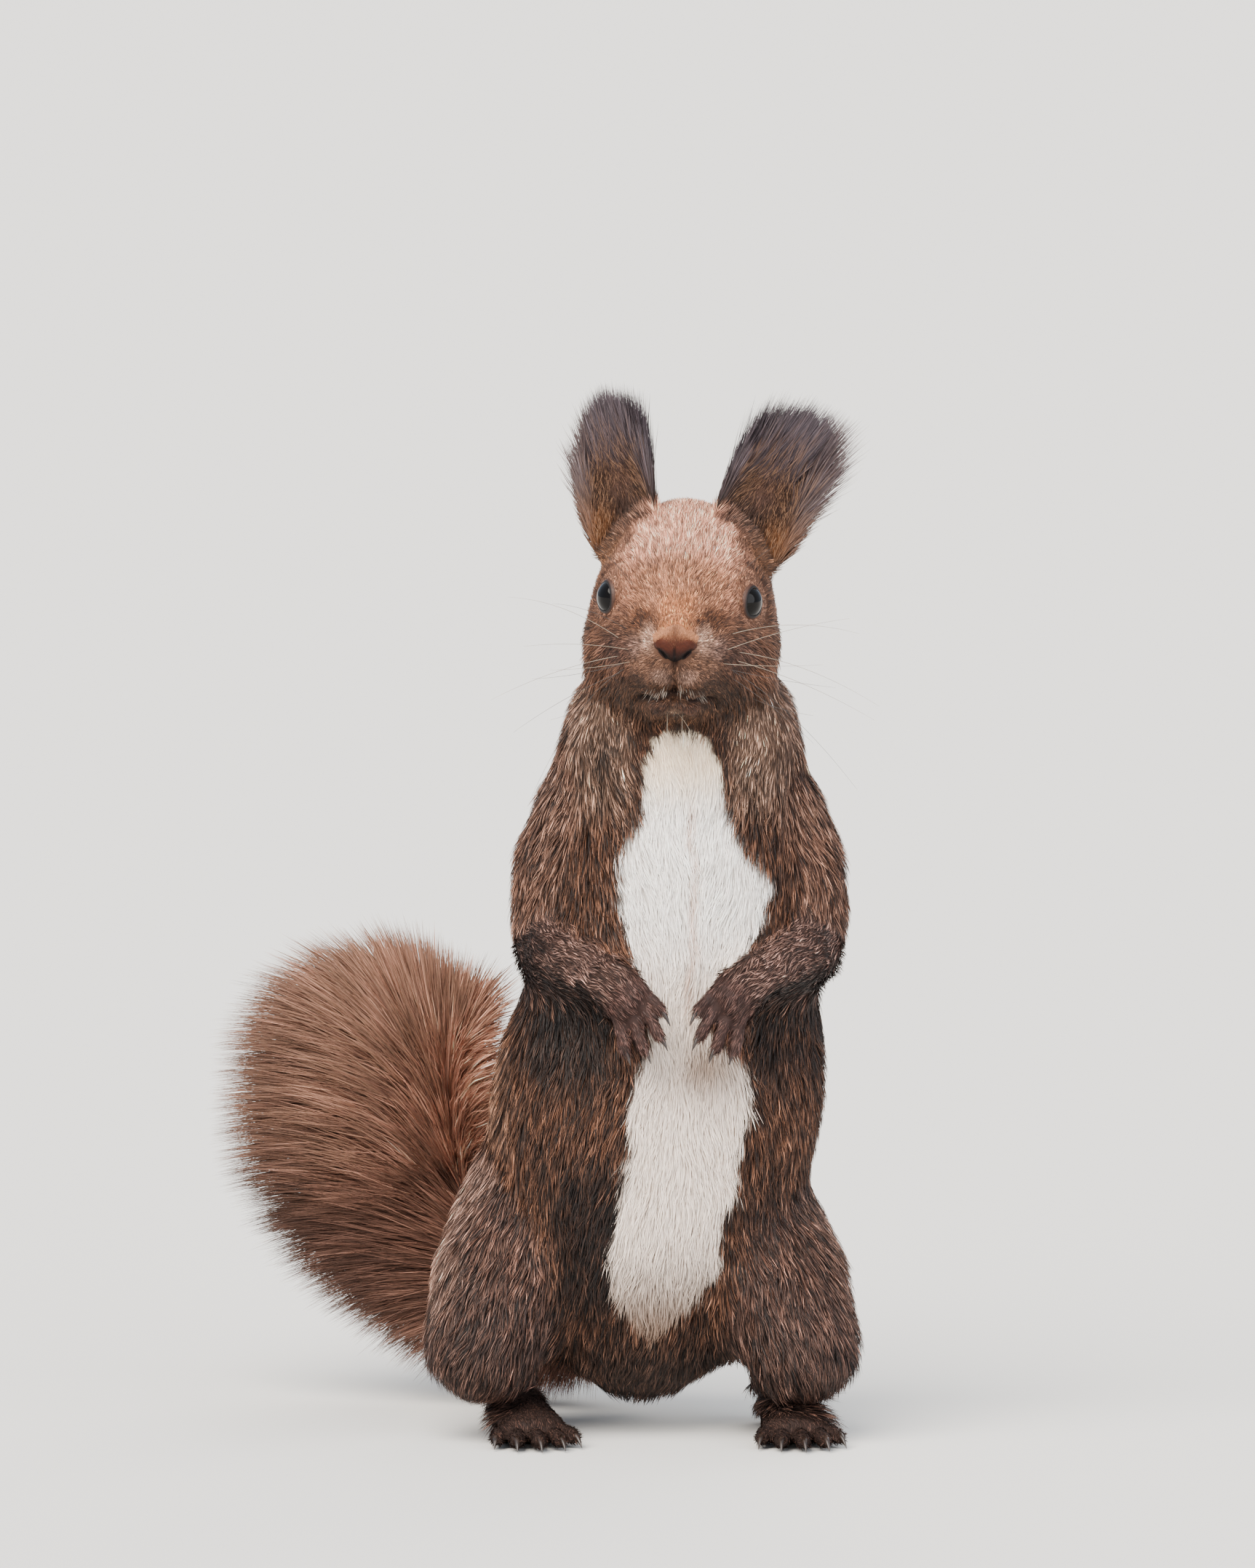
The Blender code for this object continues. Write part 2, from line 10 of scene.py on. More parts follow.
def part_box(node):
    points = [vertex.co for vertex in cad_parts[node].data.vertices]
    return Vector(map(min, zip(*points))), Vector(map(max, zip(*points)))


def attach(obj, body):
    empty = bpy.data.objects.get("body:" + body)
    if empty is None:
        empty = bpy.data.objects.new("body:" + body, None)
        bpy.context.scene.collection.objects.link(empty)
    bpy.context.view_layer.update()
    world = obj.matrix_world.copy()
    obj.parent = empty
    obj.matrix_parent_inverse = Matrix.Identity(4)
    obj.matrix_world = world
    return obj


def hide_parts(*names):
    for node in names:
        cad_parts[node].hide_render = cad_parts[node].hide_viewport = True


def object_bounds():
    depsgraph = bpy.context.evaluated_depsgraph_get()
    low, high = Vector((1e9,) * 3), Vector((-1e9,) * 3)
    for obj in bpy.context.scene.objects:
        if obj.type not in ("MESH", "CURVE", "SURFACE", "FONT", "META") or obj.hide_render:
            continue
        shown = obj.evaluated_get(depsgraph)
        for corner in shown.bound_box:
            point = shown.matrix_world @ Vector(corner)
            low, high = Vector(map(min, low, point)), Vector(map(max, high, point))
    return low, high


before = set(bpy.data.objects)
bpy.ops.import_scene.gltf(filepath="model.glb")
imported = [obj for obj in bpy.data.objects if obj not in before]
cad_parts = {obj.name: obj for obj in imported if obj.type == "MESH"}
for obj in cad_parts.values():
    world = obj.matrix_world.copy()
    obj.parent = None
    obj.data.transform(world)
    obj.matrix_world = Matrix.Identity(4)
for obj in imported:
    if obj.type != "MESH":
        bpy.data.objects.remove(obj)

CAD_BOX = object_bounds()
RNG = np.random.default_rng(7)
MM = 0.001
SIDES = ((-1, "right"), (1, "left"))

# how many hairs there are, how fine the skin is, and how large one piece of the coat may be
HAIR_SHARE = 1
TAIL_SHARE = 1
EAR_HAIRS, TAIL_HAIRS, NOSE_HAIRS, LIP_HAIRS, CHIN_HAIRS = 14500, 52000, 5200, 46, 30
SHELL_VOXEL = 1.3
SKIN_VOXEL = 0.62
PIECE_TRIANGLES = 190000
LOWEST_HAIR = 0.25

# ------------------------------------------------------------------ the body's measures, in mm
MIDLINE = 5.5
HEAD_CENTRE = np.array((6.2, -4, 194))
HEAD_YAW, HEAD_ROLL = -2.7, 1.8
EYE_PLACE = (15, 9, 0.7)
EYE_RADIUS = 4.4
EYE_SHIFT = {-1: 0.15, 1: 0.8}

HEAD = (
    (-25, -2, 11, 10, 10), (-18, -3, 18.8, 20.5, 18), (-9, -9, 22.2, 31.8, 18),
    (1, -11, 22.4, 32.3, 16.5), (9, -11, 20.4, 27.3, 16), (16, -10.8, 17.2, 21, 15.2),
    (22, -10.5, 14, 15.8, 13.2), (27, -10.5, 10.6, 12.4, 10), (31, -9.6, 7.6, 8.6, 7.2),
    (33.4, -8.4, 4.4, 5, 4.6),
)
SWELLS = (
    (5, 26.4, -12.2, 6, 5.6, 6), (13.6, 3, -12.5, 8.4, 13.5, 11), (12, 8.6, 6.6, 4.2, 7, 3.4),
)
JAW = (
    (4, -22.5, 9.5, 4.5, 4), (12, -22.8, 9, 4.6, 4.2), (19, -22.6, 7.2, 4.8, 4),
    (24, -21.8, 5, 3.9, 3.4), (26.6, -20.8, 2.8, 2.2, 2.2),
)
EAR = (
    (-6, 7.6, 5, 0.4), (3, 9.4, 6, 2.6), (9, 9, 6, 3.6), (13, 7.4, 4.4, 2.6), (16, 5, 2.4, 1.2),
    (17.8, 2, 0.8, 0.1),
)
EAR_TIP = 34
EARS = {
    -1: {"base": (12.6, -5, 14.5), "lean": 10, "turn": 28, "width": 1.02},
    1: {"base": (13, -5, 13.2), "lean": 18, "turn": 24, "width": 1.12},
}
EAR_LEAN_BACK = 6
# for each ear's tuft: lean inside and outside, and how much shorter it is at its outer and inner edges
EAR_TUFT = {-1: (0.02, 0.10, 6, 3), 1: (0.08, 0.36, 0, 5)}

TORSO = (
    (-3, 12, 20, 24), (-3, 8, 48, 34), (-1.4, 6, 66, 36), (4, 3, 102, 33), (6, 1.5, 140, 28),
    (6.2, 2, 168, 22), (6.2, 6, 184, 17),
)
UPPER_ARM = (
    (16, 3, 156, 10.5), (21.5, 3, 146, 12.8), (26.8, 4, 132, 13.2), (29.6, 4.5, 119, 11.2),
)
FOREARM = (
    (30, 2.5, 114, 11), (26.8, -8, 112.6, 10.4), (21.5, -18, 110.8, 8.8), (17, -26, 109, 7),
)
WRIST = ((20, -21, 110, 6.4), (17, -25.5, 108.6, 5.6), (13.5, -29, 105.6, 5))
FINGERS = (
    ((9.6, -31, 108.2), (4, -35.4, 102.6), (2.4, -36.6, 99.8)),
    ((8.6, -32, 104.4), (4.6, -36.2, 96.8), (3, -37.2, 94.2)),
    ((10.8, -31.4, 101.4), (8.2, -35.6, 93.8), (6.8, -36.6, 91.2)),
    ((13.8, -30, 100.2), (12.4, -33.6, 93), (11.4, -34.6, 90.6)),
)
THIGHS = {
    -1: ((-25.5, 12, 64, 16), (-29, 6, 50, 18.8), (-34.5, -2, 36.5, 18.6), (-40, -8, 20.5, 15.4)),
    1: ((18.5, 12, 62, 16), (22, 6, 49, 18), (28.2, -2, 36, 18.2), (34.4, -8, 20, 15.2)),
}
SHANKS = {
    -1: ((-38.5, -6, 22, 12), (-36.5, 5, 16.5, 10.6), (-34.5, 15, 11.5, 8.4), (-34, 19, 7, 6)),
    1: ((33, -6, 22, 11.8), (31, 5, 16.5, 10.6), (29, 15, 11.5, 8.4), (28.5, 19, 7, 6)),
}
FEET = {-1: ((-34, 21), (-28.5, -14)), 1: ((28.5, 21), (32.5, -14))}
TOE_RADIUS, CLAW_REACH = 2.5, 4.2
TOES = (
    (-0.78, 7.5, -16), (-0.42, 11.5, -7), (0, 12.6, 0), (0.42, 11.4, 7), (0.8, 7, 17),
)
PALM = ((18.5, -24, 110, 6.4, 5.4), (14.5, -28.5, 106.5, 7.2, 5.2), (10.5, -31.5, 103, 6.6, 4.4))
FOOT_SECTIONS = (
    (-0.04, 4.6, 8), (0.15, 6, 12), (0.45, 6.6, 11.5), (0.75, 7.8, 9.6), (1, 8.6, 8),
    (1.08, 7.6, 6),
)
TAIL_CORE = (
    (-3, 33, 37, 9), (-14, 44, 30, 8.5), (-27, 52, 29, 7.5), (-38, 57.5, 36, 6.5),
    (-45, 60, 48, 5.5), (-48, 61, 62, 4.5), (-49, 61, 75, 3.6), (-49, 61, 85, 2.8),
)


# ------------------------------------------------------------------ small tools
def spline(stations, steps):
    """A Catmull-Rom curve through the stations, as rows of an array."""
    p = np.array(stations, float)
    p = np.vstack((2 * p[0] - p[1], p, 2 * p[-1] - p[-2]))
    rows = []
    for i in range(1, len(p) - 2):
        a, b, c, d = p[i - 1 : i + 3]
        for t in np.arange(steps) / steps:
            square = (2 * a - 5 * b + 4 * c - d) * t**2
            cube = (3 * b - a - 3 * c + d) * t**3
            rows.append(0.5 * (2 * b + (c - a) * t + square + cube))
    rows.append(p[-2])
    return np.array(rows)


def unit(v):
    return v / np.maximum(np.linalg.norm(v, axis=-1, keepdims=True), 1e-9)


def rise(low, high, x):
    """0 under low, 1 over high, and smooth between."""
    t = np.clip((x - low) / (high - low), 0, 1)
    return t * t * (3 - 2 * t)


def fall(low, high, x):
    """1 under low, 0 over high."""
    return 1 - rise(low, high, x)


def bell(gap, width):
    """1 where the gap is 0, falling away on both sides."""
    return np.exp(-((gap / width) ** 2))


def mix(a, b, t):
    return a + (b - a) * t


def blend(a, b, weight):
    """mix, by one weight for each point."""
    return mix(a, b, weight[:, None])


def flat_on(v, n):
    """v less its part along the normal n."""
    return v - (v * n).sum(axis=1, keepdims=True) * n


def bent(a, b, c, t):
    """The curve from a to c that b draws to itself."""
    return (1 - t) ** 2 * a + 2 * t * (1 - t) * b + t**2 * c


def turns(count):
    return np.arange(count) * 2 * math.pi / count


def part_of(name):
    return name.replace("_left", "").replace("_right", "")


def turned(axis, degrees):
    return np.array(Matrix.Rotation(math.radians(degrees), 3, axis))


HEAD_TURN = turned("Z", HEAD_YAW) @ turned("Y", HEAD_ROLL)


def head_point(p):
    """From (side, forward, up) in the head's own frame to the body's frame."""
    p = np.asarray(p, float) * (1, -1, 1)
    return p @ HEAD_TURN.T + HEAD_CENTRE


def in_head(p):
    """The reverse of head_point."""
    return ((np.asarray(p, float) - HEAD_CENTRE) @ HEAD_TURN) * (1, -1, 1)


def head_way(way):
    """A direction given in the head's frame, in the body's."""
    return unit(np.asarray(way) * (1, -1, 1)) @ HEAD_TURN.T


def node_middle(name):
    low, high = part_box(name)
    return np.array((low + high) / 2) / MM


OFFSET = node_middle("eye_left") - head_point(EYE_PLACE)


def new_mesh(name, points, faces):
    """An object from points in mm in the body's frame, and a list or an array of faces."""
    mesh = bpy.data.meshes.new(name)
    if isinstance(faces, list):
        mesh.from_pydata(((points + OFFSET) * MM).tolist(), [], faces)
    else:
        count, corners = faces.shape
        mesh.vertices.add(len(points))
        mesh.vertices.foreach_set("co", ((points + OFFSET) * MM).astype(np.float32).ravel())
        mesh.loops.add(count * corners)
        mesh.loops.foreach_set("vertex_index", faces.astype(np.int32).ravel())
        mesh.polygons.add(count)
        mesh.polygons.foreach_set("loop_start", np.arange(0, count * corners, corners, dtype=np.int32))
    mesh.update(calc_edges=True)
    mesh.shade_smooth()
    return bpy.data.objects.new(name, mesh)


def show(obj, material, slot=None, nodes=()):
    """Puts a piece on the body, and in place of CAD nodes where they are given; the slot is not used.
    """
    bpy.context.scene.collection.objects.link(obj)
    obj.data.materials.append(MATERIALS[material])
    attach(obj, "root")
    if nodes:
        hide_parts(*nodes)


def remeshed(obj, voxel, rounds):
    """The object as one closed surface of small faces, smoothed."""
    bpy.context.scene.collection.objects.link(obj)
    remesh = obj.modifiers.new("Remesh", "REMESH")
    remesh.mode, remesh.voxel_size = "VOXEL", voxel * MM
    smooth = obj.modifiers.new("Smooth", "SMOOTH")
    smooth.factor, smooth.iterations = 0.5, rounds
    bpy.context.view_layer.update()
    mesh = bpy.data.meshes.new_from_object(obj.evaluated_get(bpy.context.evaluated_depsgraph_get()))
    made = bpy.data.objects.new(obj.name, mesh)
    bpy.data.objects.remove(obj)
    return made


def points_of(mesh):
    co = np.empty(len(mesh.vertices) * 3, np.float32)
    mesh.vertices.foreach_get("co", co)
    return co.reshape(-1, 3).astype(float) / MM - OFFSET


def normals_of(mesh):
    n = np.empty(len(mesh.vertices) * 3, np.float32)
    mesh.vertices.foreach_get("normal", n)
    return n.reshape(-1, 3).astype(float)


def set_points(mesh, points):
    mesh.vertices.foreach_set("co", ((points + OFFSET) * MM).astype(np.float32).ravel())
    mesh.update()


def joined(name, objects):
    """One object made of several, which are removed."""
    bm = bmesh.new()
    for obj in objects:
        bm.from_mesh(obj.data)
        bpy.data.objects.remove(obj)
    mesh = bpy.data.meshes.new(name)
    bm.to_mesh(mesh)
    bm.free()
    return bpy.data.objects.new(name, mesh)


def ring_faces(rows, count):
    """The quads between rings of count points each."""
    faces = []
    for r in range(rows - 1):
        for k in range(count):
            a, b = r * count + k, r * count + (k + 1) % count
            faces.append((a, b, b + count, a + count))
    return faces


def loft(name, rings, poles):
    """A closed surface through rings, with a point at each end."""
    rings = np.asarray(rings)
    rows, count = rings.shape[:2]
    points = np.vstack((rings.reshape(-1, 3), poles))
    faces = ring_faces(rows, count)
    first, last = rows * count, rows * count + 1
    for k in range(count):
        faces.append(((k + 1) % count, k, first))
        faces.append(((rows - 1) * count + k, (rows - 1) * count + (k + 1) % count, last))
    obj = new_mesh(name, points, faces)
    bm = bmesh.new()
    bm.from_mesh(obj.data)
    bmesh.ops.recalc_face_normals(bm, faces=bm.faces)
    bm.to_mesh(obj.data)
    bm.free()
    return obj


def tube(name, path, radii, sides=14, flatten=1):
    """A round-ended tube along path with a radius at each point."""
    path = np.asarray(path, float)
    radii = np.asarray(radii, float)
    along = unit(np.gradient(path, axis=0))
    hint = np.array((1, 0, 0)) if abs(along[0][0]) < 0.8 else np.array((0, 0, 1))
    side = unit(hint - (along @ hint)[:, None] * along)
    deep = np.cross(along, side) * flatten
    angles = turns(sides)
    circle = side[:, None] * np.cos(angles)[:, None] + deep[:, None] * np.sin(angles)[:, None]
    rings = [path[i] + circle[i] * radii[i] for i in range(len(path))]
    start, end = [], []
    for turn in (0.6, 1.1):
        c, s = math.cos(turn), math.sin(turn)
        start.insert(0, path[0] + circle[0] * radii[0] * c - along[0] * radii[0] * s)
        end.append(path[-1] + circle[-1] * radii[-1] * c + along[-1] * radii[-1] * s)
    poles = (path[0] - along[0] * radii[0], path[-1] + along[-1] * radii[-1])
    return loft(name, [*start, *rings, *end], poles)


def sided(stations, side):
    """Stations whose first number is a distance from the midline, as places in the body's frame."""
    rows = np.array(stations, float)
    rows[:, 0] = MIDLINE + side * rows[:, 0]
    return rows


# ------------------------------------------------------------------ bones that the coat follows
def bones():
    """Name, stations with radii, for each length of the body."""
    made = {"trunk": np.array(TORSO)}
    axis = []
    for forward, level, width, up, down in HEAD:
        axis.append((*head_point((0, forward, level + (up - down) / 2)), (width + up + down) / 3))
    made["head"] = np.array(axis)
    for side, name in SIDES:
        made[f"upper_arm_{name}"] = sided(UPPER_ARM, side)
        made[f"forearm_{name}"] = sided(FOREARM, side)
        tips = sided([(8, -35, 97, 4.5)], side)
        made[f"hand_{name}"] = np.vstack((sided(WRIST, side)[1:], tips))
        made[f"thigh_{name}"] = np.array(THIGHS[side])
        made[f"shank_{name}"] = np.array(SHANKS[side])
        heel, ball = FEET[side]
        ahead = np.array(ball) - np.array(heel)
        toe = np.array(ball) + ahead / np.linalg.norm(ahead) * 10
        made[f"foot_{name}"] = np.array(((*heel, 3, 5.5), (*ball, 2, 6.5), (*toe, 1.5, 5)))
    made["tail"] = np.array(TAIL_CORE)
    return made


def nearest_on(path, points):
    """Distance less radius, and direction of the path, at the place on the path nearest each point."""
    best = np.full(len(points), 1e9)
    way = np.zeros((len(points), 3))
    for i in range(len(path) - 1):
        a, b = path[i, :3], path[i + 1, :3]
        ab = b - a
        t = np.clip((points - a) @ ab / (ab @ ab), 0, 1)
        gap = np.linalg.norm(points - a - t[:, None] * ab, axis=1) - mix(path[i, 3], path[i + 1, 3], t)
        nearer = gap < best
        best[nearer] = gap[nearer]
        way[nearer] = ab / np.linalg.norm(ab)
    return best, way


# ------------------------------------------------------------------ skin
def grown(name, by):
    """A copy of a CAD node's mesh, moved out along its normals."""
    bm = bmesh.new()
    bm.from_mesh(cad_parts[name].data)
    bmesh.ops.remove_doubles(bm, verts=bm.verts, dist=1e-6)
    bm.normal_update()
    for v in bm.verts:
        v.co += v.normal * by * MM
    mesh = bpy.data.meshes.new(name)
    bm.to_mesh(mesh)
    bm.free()
    return bpy.data.objects.new(name, mesh)


COAT_DEPTH = {"trunk": 2.3, "head": 4.6, "upper_arm": 2, "forearm": 1.8, "thigh": 2.3, "shank": 2}


def body_shell():
    """The trunk, neck and limbs in one closed surface, inside the solids by the coat's depth."""
    parts = ("head", "neck", "trunk", "upper", "forearm", "thigh", "shank")
    names = [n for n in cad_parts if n.split("_")[0] in parts]
    whole = joined("shell", [grown(n, 0.6) for n in names])
    whole = remeshed(whole, SHELL_VOXEL, 14)
    points, normals = points_of(whole.data), normals_of(whole.data)
    depth = np.full(len(points), 4.0)
    nearest = np.full(len(points), 1e9)
    for name, path in bones().items():
        part = part_of(name)
        if part in COAT_DEPTH:
            gap = nearest_on(path, points)[0]
            closer = gap < nearest
            nearest[closer] = gap[closer]
            depth[closer] = COAT_DEPTH[part]
    z = points[:, 2]
    depth = mix(depth, 0.4, rise(146, 160, z) * fall(168, 176, z))
    depth = mix(depth, 4, rise(170, 184, z))
    depth = spread(whole.data, depth, 12)
    set_points(whole.data, points - normals * (depth + 0.6)[:, None])
    return whole


def spread(mesh, values, rounds):
    """values at the vertices, averaged with their neighbours' this many times."""
    edges = np.empty(len(mesh.edges) * 2, np.int32)
    mesh.edges.foreach_get("vertices", edges)
    a, b = edges[::2], edges[1::2]
    count = len(mesh.vertices)
    degree = np.bincount(a, minlength=count) + np.bincount(b, minlength=count)
    columns = values.reshape(count, -1).astype(float)
    for _ in range(rounds):
        made = np.empty_like(columns)
        for k in range(columns.shape[1]):
            total = np.bincount(a, columns[b, k], count) + np.bincount(b, columns[a, k], count)
            made[:, k] = 0.5 * columns[:, k] + 0.5 * total / np.maximum(degree, 1)
        columns = made
    return columns.reshape(values.shape)


def head_form():
    """The head in its own finer form, with the lips and chin."""
    inset = 1.1

    def skull(stations, steps, sides):
        rows = spline(stations, steps)
        angles = turns(sides)
        c, s = np.cos(angles), np.sin(angles)
        rings = []
        for forward, level, width, up, down in rows:
            width, up, down = width - inset, up - inset, down - inset
            high = level + s * np.where(s > 0, up, down)
            rings.append(head_point(np.column_stack((width * c, np.full(sides, forward), high))))
        first, last = stations[0], stations[-1]
        poles = head_point([(0, first[0] - 1.5, first[1]), (0, last[0] + 0.5, last[1])])
        return loft("skull", rings, poles)

    pieces = [skull(HEAD, 4, 40), skull(JAW, 3, 24)]
    for side in (-1, 1):
        for across, forward, up, *radii in SWELLS:
            pieces.append(ellipsoid((side * across, forward, up), np.array(radii) - inset))
        pieces.append(ellipsoid((side * 3.4, 28.6, -14.4), (3.7, 3.6, 3.3)))
    pieces.append(ellipsoid((0, 26.9, -20.8), (4.9, 3.8, 3.2)))
    pieces.append(ellipsoid((0, 29.6, -7.4), (4, 4.2, 3.8)))
    pieces.append(ellipsoid((0, 30, -5.2), (4.6, 4.5, 4.6)))
    return pieces


def ellipsoid(centre, radii, columns=24, rows=14):
    """An ellipsoid in the head's own frame."""
    angles = turns(columns)
    rings = []
    for k in range(1, rows):
        turn = math.pi * k / rows
        wide, high = math.sin(turn), math.cos(turn)
        ring = np.column_stack((np.cos(angles) * wide, np.sin(angles) * wide, np.full(columns, high)))
        rings.append(head_point(ring * radii + centre))
    poles = head_point(np.array(((0, 0, 1), (0, 0, -1))) * radii + centre)
    return loft("ellipsoid", rings, poles)


def ear_frame(side):
    """The ear's base and the matrix of its own axes: across, back, up."""
    ear = EARS[side]
    lean, turn = turned("Y", side * ear["lean"]), turned("Z", side * ear["turn"])
    stand = lean @ turned("X", -EAR_LEAN_BACK) @ turn
    base = np.array((side * ear["base"][0], -ear["base"][1], ear["base"][2]))
    return base, stand


def ear_to_body(side, p):
    """From the ear's own axes to the body's frame."""
    base, stand = ear_frame(side)
    q = base + np.asarray(p, float) @ stand.T
    return head_point(q * (1, -1, 1))


def body_to_ear(side, p):
    """The reverse of ear_to_body."""
    base, stand = ear_frame(side)
    q = in_head(p) * (1, -1, 1)
    return (q - base) @ stand


def ear_form(side):
    arc = np.linspace(-1, 1, 15)
    width = EARS[side]["width"]
    rings = []
    for along, half, bulge, hollow in spline(EAR, 4):
        outer = [(half * width * a, bulge * (1 - a * a) + 0.75 - bulge * 0.5, along) for a in arc]
        inner = [(half * width * a, hollow * (1 - a * a) - 0.75 - bulge * 0.5, along)
            for a in arc[::-1]]
        rings.append(ear_to_body(side, outer + inner))
    poles = ear_to_body(side, [(0, 0, EAR[0][0] - 1), (0, 0, EAR[-1][0] + 0.6)])
    return loft("ear", rings, poles)


def limb(name, stations, steps, inset=0):
    """A tube through stations that end in a radius."""
    rows = spline(stations, steps)
    return tube(name, rows[:, :3], rows[:, 3] - inset)


def oval_tube(name, path, side, wide, deep, sides=18):
    """A tube of oval sections: wide along side, deep across it."""
    path = np.asarray(path, float)
    along = unit(np.gradient(path, axis=0))
    side = unit(side - (along @ side)[:, None] * along)
    over = np.cross(along, side)
    angles = turns(sides)
    c, s = np.cos(angles)[:, None], np.sin(angles)[:, None]
    rings = [path[k] + side[k] * c * wide[k] + over[k] * s * deep[k] for k in range(len(path))]
    poles = (path[0] - along[0] * deep[0] * 0.6, path[-1] + along[-1] * deep[-1] * 0.6)
    return loft(name, rings, poles)


def foot_axes(side):
    """Heel, ball, and the directions ahead and across."""
    heel, ball = (np.array((*p, 0)) for p in FEET[side])
    ahead = unit(ball - heel)
    return heel, ball, ahead, np.array((ahead[1], -ahead[0], 0))


def toes(side):
    """Start, end and direction of each toe of one foot."""
    _, ball, ahead, across = foot_axes(side)
    for share, reach, turn in TOES:
        way = turned("Z", -turn) @ ahead
        start = ball + across * share * FOOT_SECTIONS[-2][1] + np.array((0, 0, TOE_RADIUS))
        yield start, start + way * reach, way


def fingers(side):
    """Knuckle, tip and claw point of each finger of one hand."""
    for rows in FINGERS:
        yield sided(rows, side)


def paw_forms():
    """Wrists, ankles, hands and feet."""
    pieces = []
    for side in (-1, 1):
        pieces.append(limb("wrist", sided(WRIST, side), 3, 0.6))
        palm = spline(sided(PALM, side), 4)
        over = np.array((0.35 * side, 0.75, 0.55))
        flat = np.cross(unit(palm[-1, :3] - palm[0, :3]), over)
        pieces.append(oval_tube("palm", palm[:, :3], flat, palm[:, 3] - 0.7, palm[:, 4] - 0.7))
        for knuckle, tip, _ in fingers(side):
            bone = unit(tip - knuckle)
            middle = (knuckle + tip) / 2 - bone * 0.2
            path = np.array([knuckle - bone * 3, knuckle, middle, tip - bone * 0.6])
            pieces.append(limb("finger", np.column_stack((path, (1.9, 1.75, 1.45, 1.5))), 4))
        pieces.append(limb("ankle", SHANKS[side], 3, 2))
        heel, ball, _, across = foot_axes(side)
        rows = []
        for share, wide, high in FOOT_SECTIONS:
            rows.append((*(mix(heel, ball, share) + (0, 0, high * 0.46)), wide, high * 0.5))
        rows = spline(rows, 4)
        pieces.append(oval_tube("sole", rows[:, :3], across, rows[:, 3] - 0.6, rows[:, 4] - 0.5))
        for start, end, way in toes(side):
            path = np.array([start - way * 3, start, (start + end) / 2 + (0, 0, 0.5), end - way * 0.3])
            pieces.append(limb("toe", np.column_stack((path, (2.1, 2.1, 1.75, 1.8))), 4))
    return pieces


def nape_gap(points):
    """How far in the nape lies, at each height, from a straight line between the head and the back."""
    x, y, z = points.T
    levels = np.arange(148, 196, 1)
    line = np.array([y[(np.abs(z - level) < 0.8) & (np.abs(x - 5) < 8)].max() for level in levels])
    full = np.interp(levels, levels[[0, -1]], line[[0, -1]])
    return np.interp(z, levels, np.maximum(full - line, 0), left=0, right=0)


def make_skin():
    """One skin over the whole animal, from the shell, head, ears, paws and tail."""
    parts = [body_shell(), *head_form(), ear_form(-1), ear_form(1), *paw_forms(),
        limb("tail_core", TAIL_CORE, 4)]
    whole = joined("skin", parts)
    whole = remeshed(whole, SKIN_VOXEL, 5)
    points = points_of(whole.data)
    h = in_head(points)
    soft = fall(28.5, 31, h[:, 1]) * rise(-20, -10, h[:, 1]) * (ear_share(h) < 0.02)
    soft = spread(whole.data, soft * rise(-32, -26, h[:, 2]) * fall(4, 12, h[:, 2]), 6)
    set_points(whole.data, blend(points, spread(whole.data, points, 40), soft))
    # the hollow all round under the head is filled, as loose skin fills it
    points, normals = points_of(whole.data), normals_of(whole.data)
    near = ((spread(whole.data, points, 160) - points) * normals).sum(axis=1)
    wide = spread(whole.data, points, 500) - points
    _, y, z = points.T
    behind = rise(-8, 4, y)
    throat = rise(146, 156, z) * fall(174, 182, z) * fall(12, 20, in_head(points)[:, 1]) * (1 - behind)
    nape = rise(148, 158, z) * fall(172, 184, z) * behind * rise(0, 1.5, (wide * normals).sum(axis=1))
    plump = 1.5 * rise(0.2, 0.7, np.abs(normals[:, 0])) * rise(152, 162, z) * fall(172, 182, z)
    points = points + normals * (np.maximum(near, 0) * throat + plump)[:, None] + wide * nape[:, None]
    points[:, 1] += nape_gap(points) * rise(-6, 8, points[:, 1])
    neck = rise(146, 154, z) * fall(176, 186, z) * behind
    set_points(whole.data, blend(points, spread(whole.data, points, 60), neck))
    shape_face(whole.data)
    return whole


# ------------------------------------------------------------------ eyes
def eye_frame(side):
    """The eye's centre, and its axes: outward, along the slit to the ear, across the slit."""
    node = "eye_left" if side > 0 else "eye_right"
    centre = node_middle(node) - OFFSET - (side * EYE_SHIFT[side], 0, 0)
    out = head_way((side * 0.86, 0.50, 0.1))
    slit = np.array((side * 0.12, -0.62, 0.78)) * (1, -1, 1) @ HEAD_TURN.T
    slit = unit(slit - (slit @ out) * out)
    return centre, out, slit, np.cross(out, slit)


def opening(angle):
    """Half the eye's opening, in degrees, at an angle round its axis from the slit's rear corner."""
    return 46 + 5 * np.abs(np.cos(angle)) ** 4 - 2 * np.sin(angle) ** 2


def eye_angles(side, points):
    """Degrees from the eye's axis, distance from its centre, and the opening in that direction."""
    centre, out, slit, across = eye_frame(side)
    d = points - centre
    r = np.linalg.norm(d, axis=1)
    away = np.degrees(np.arccos(np.clip(d @ out / np.maximum(r, 1e-6), -1, 1)))
    round_it = np.arctan2(d @ across, d @ slit)
    return away, r, opening(round_it)


def mouth_level(side):
    """Height of the line between the lips, in the head's frame, at this distance to the side."""
    return -18.2 - 1.6 * rise(0, 3.4, np.abs(side)) - 0.012 * side**2


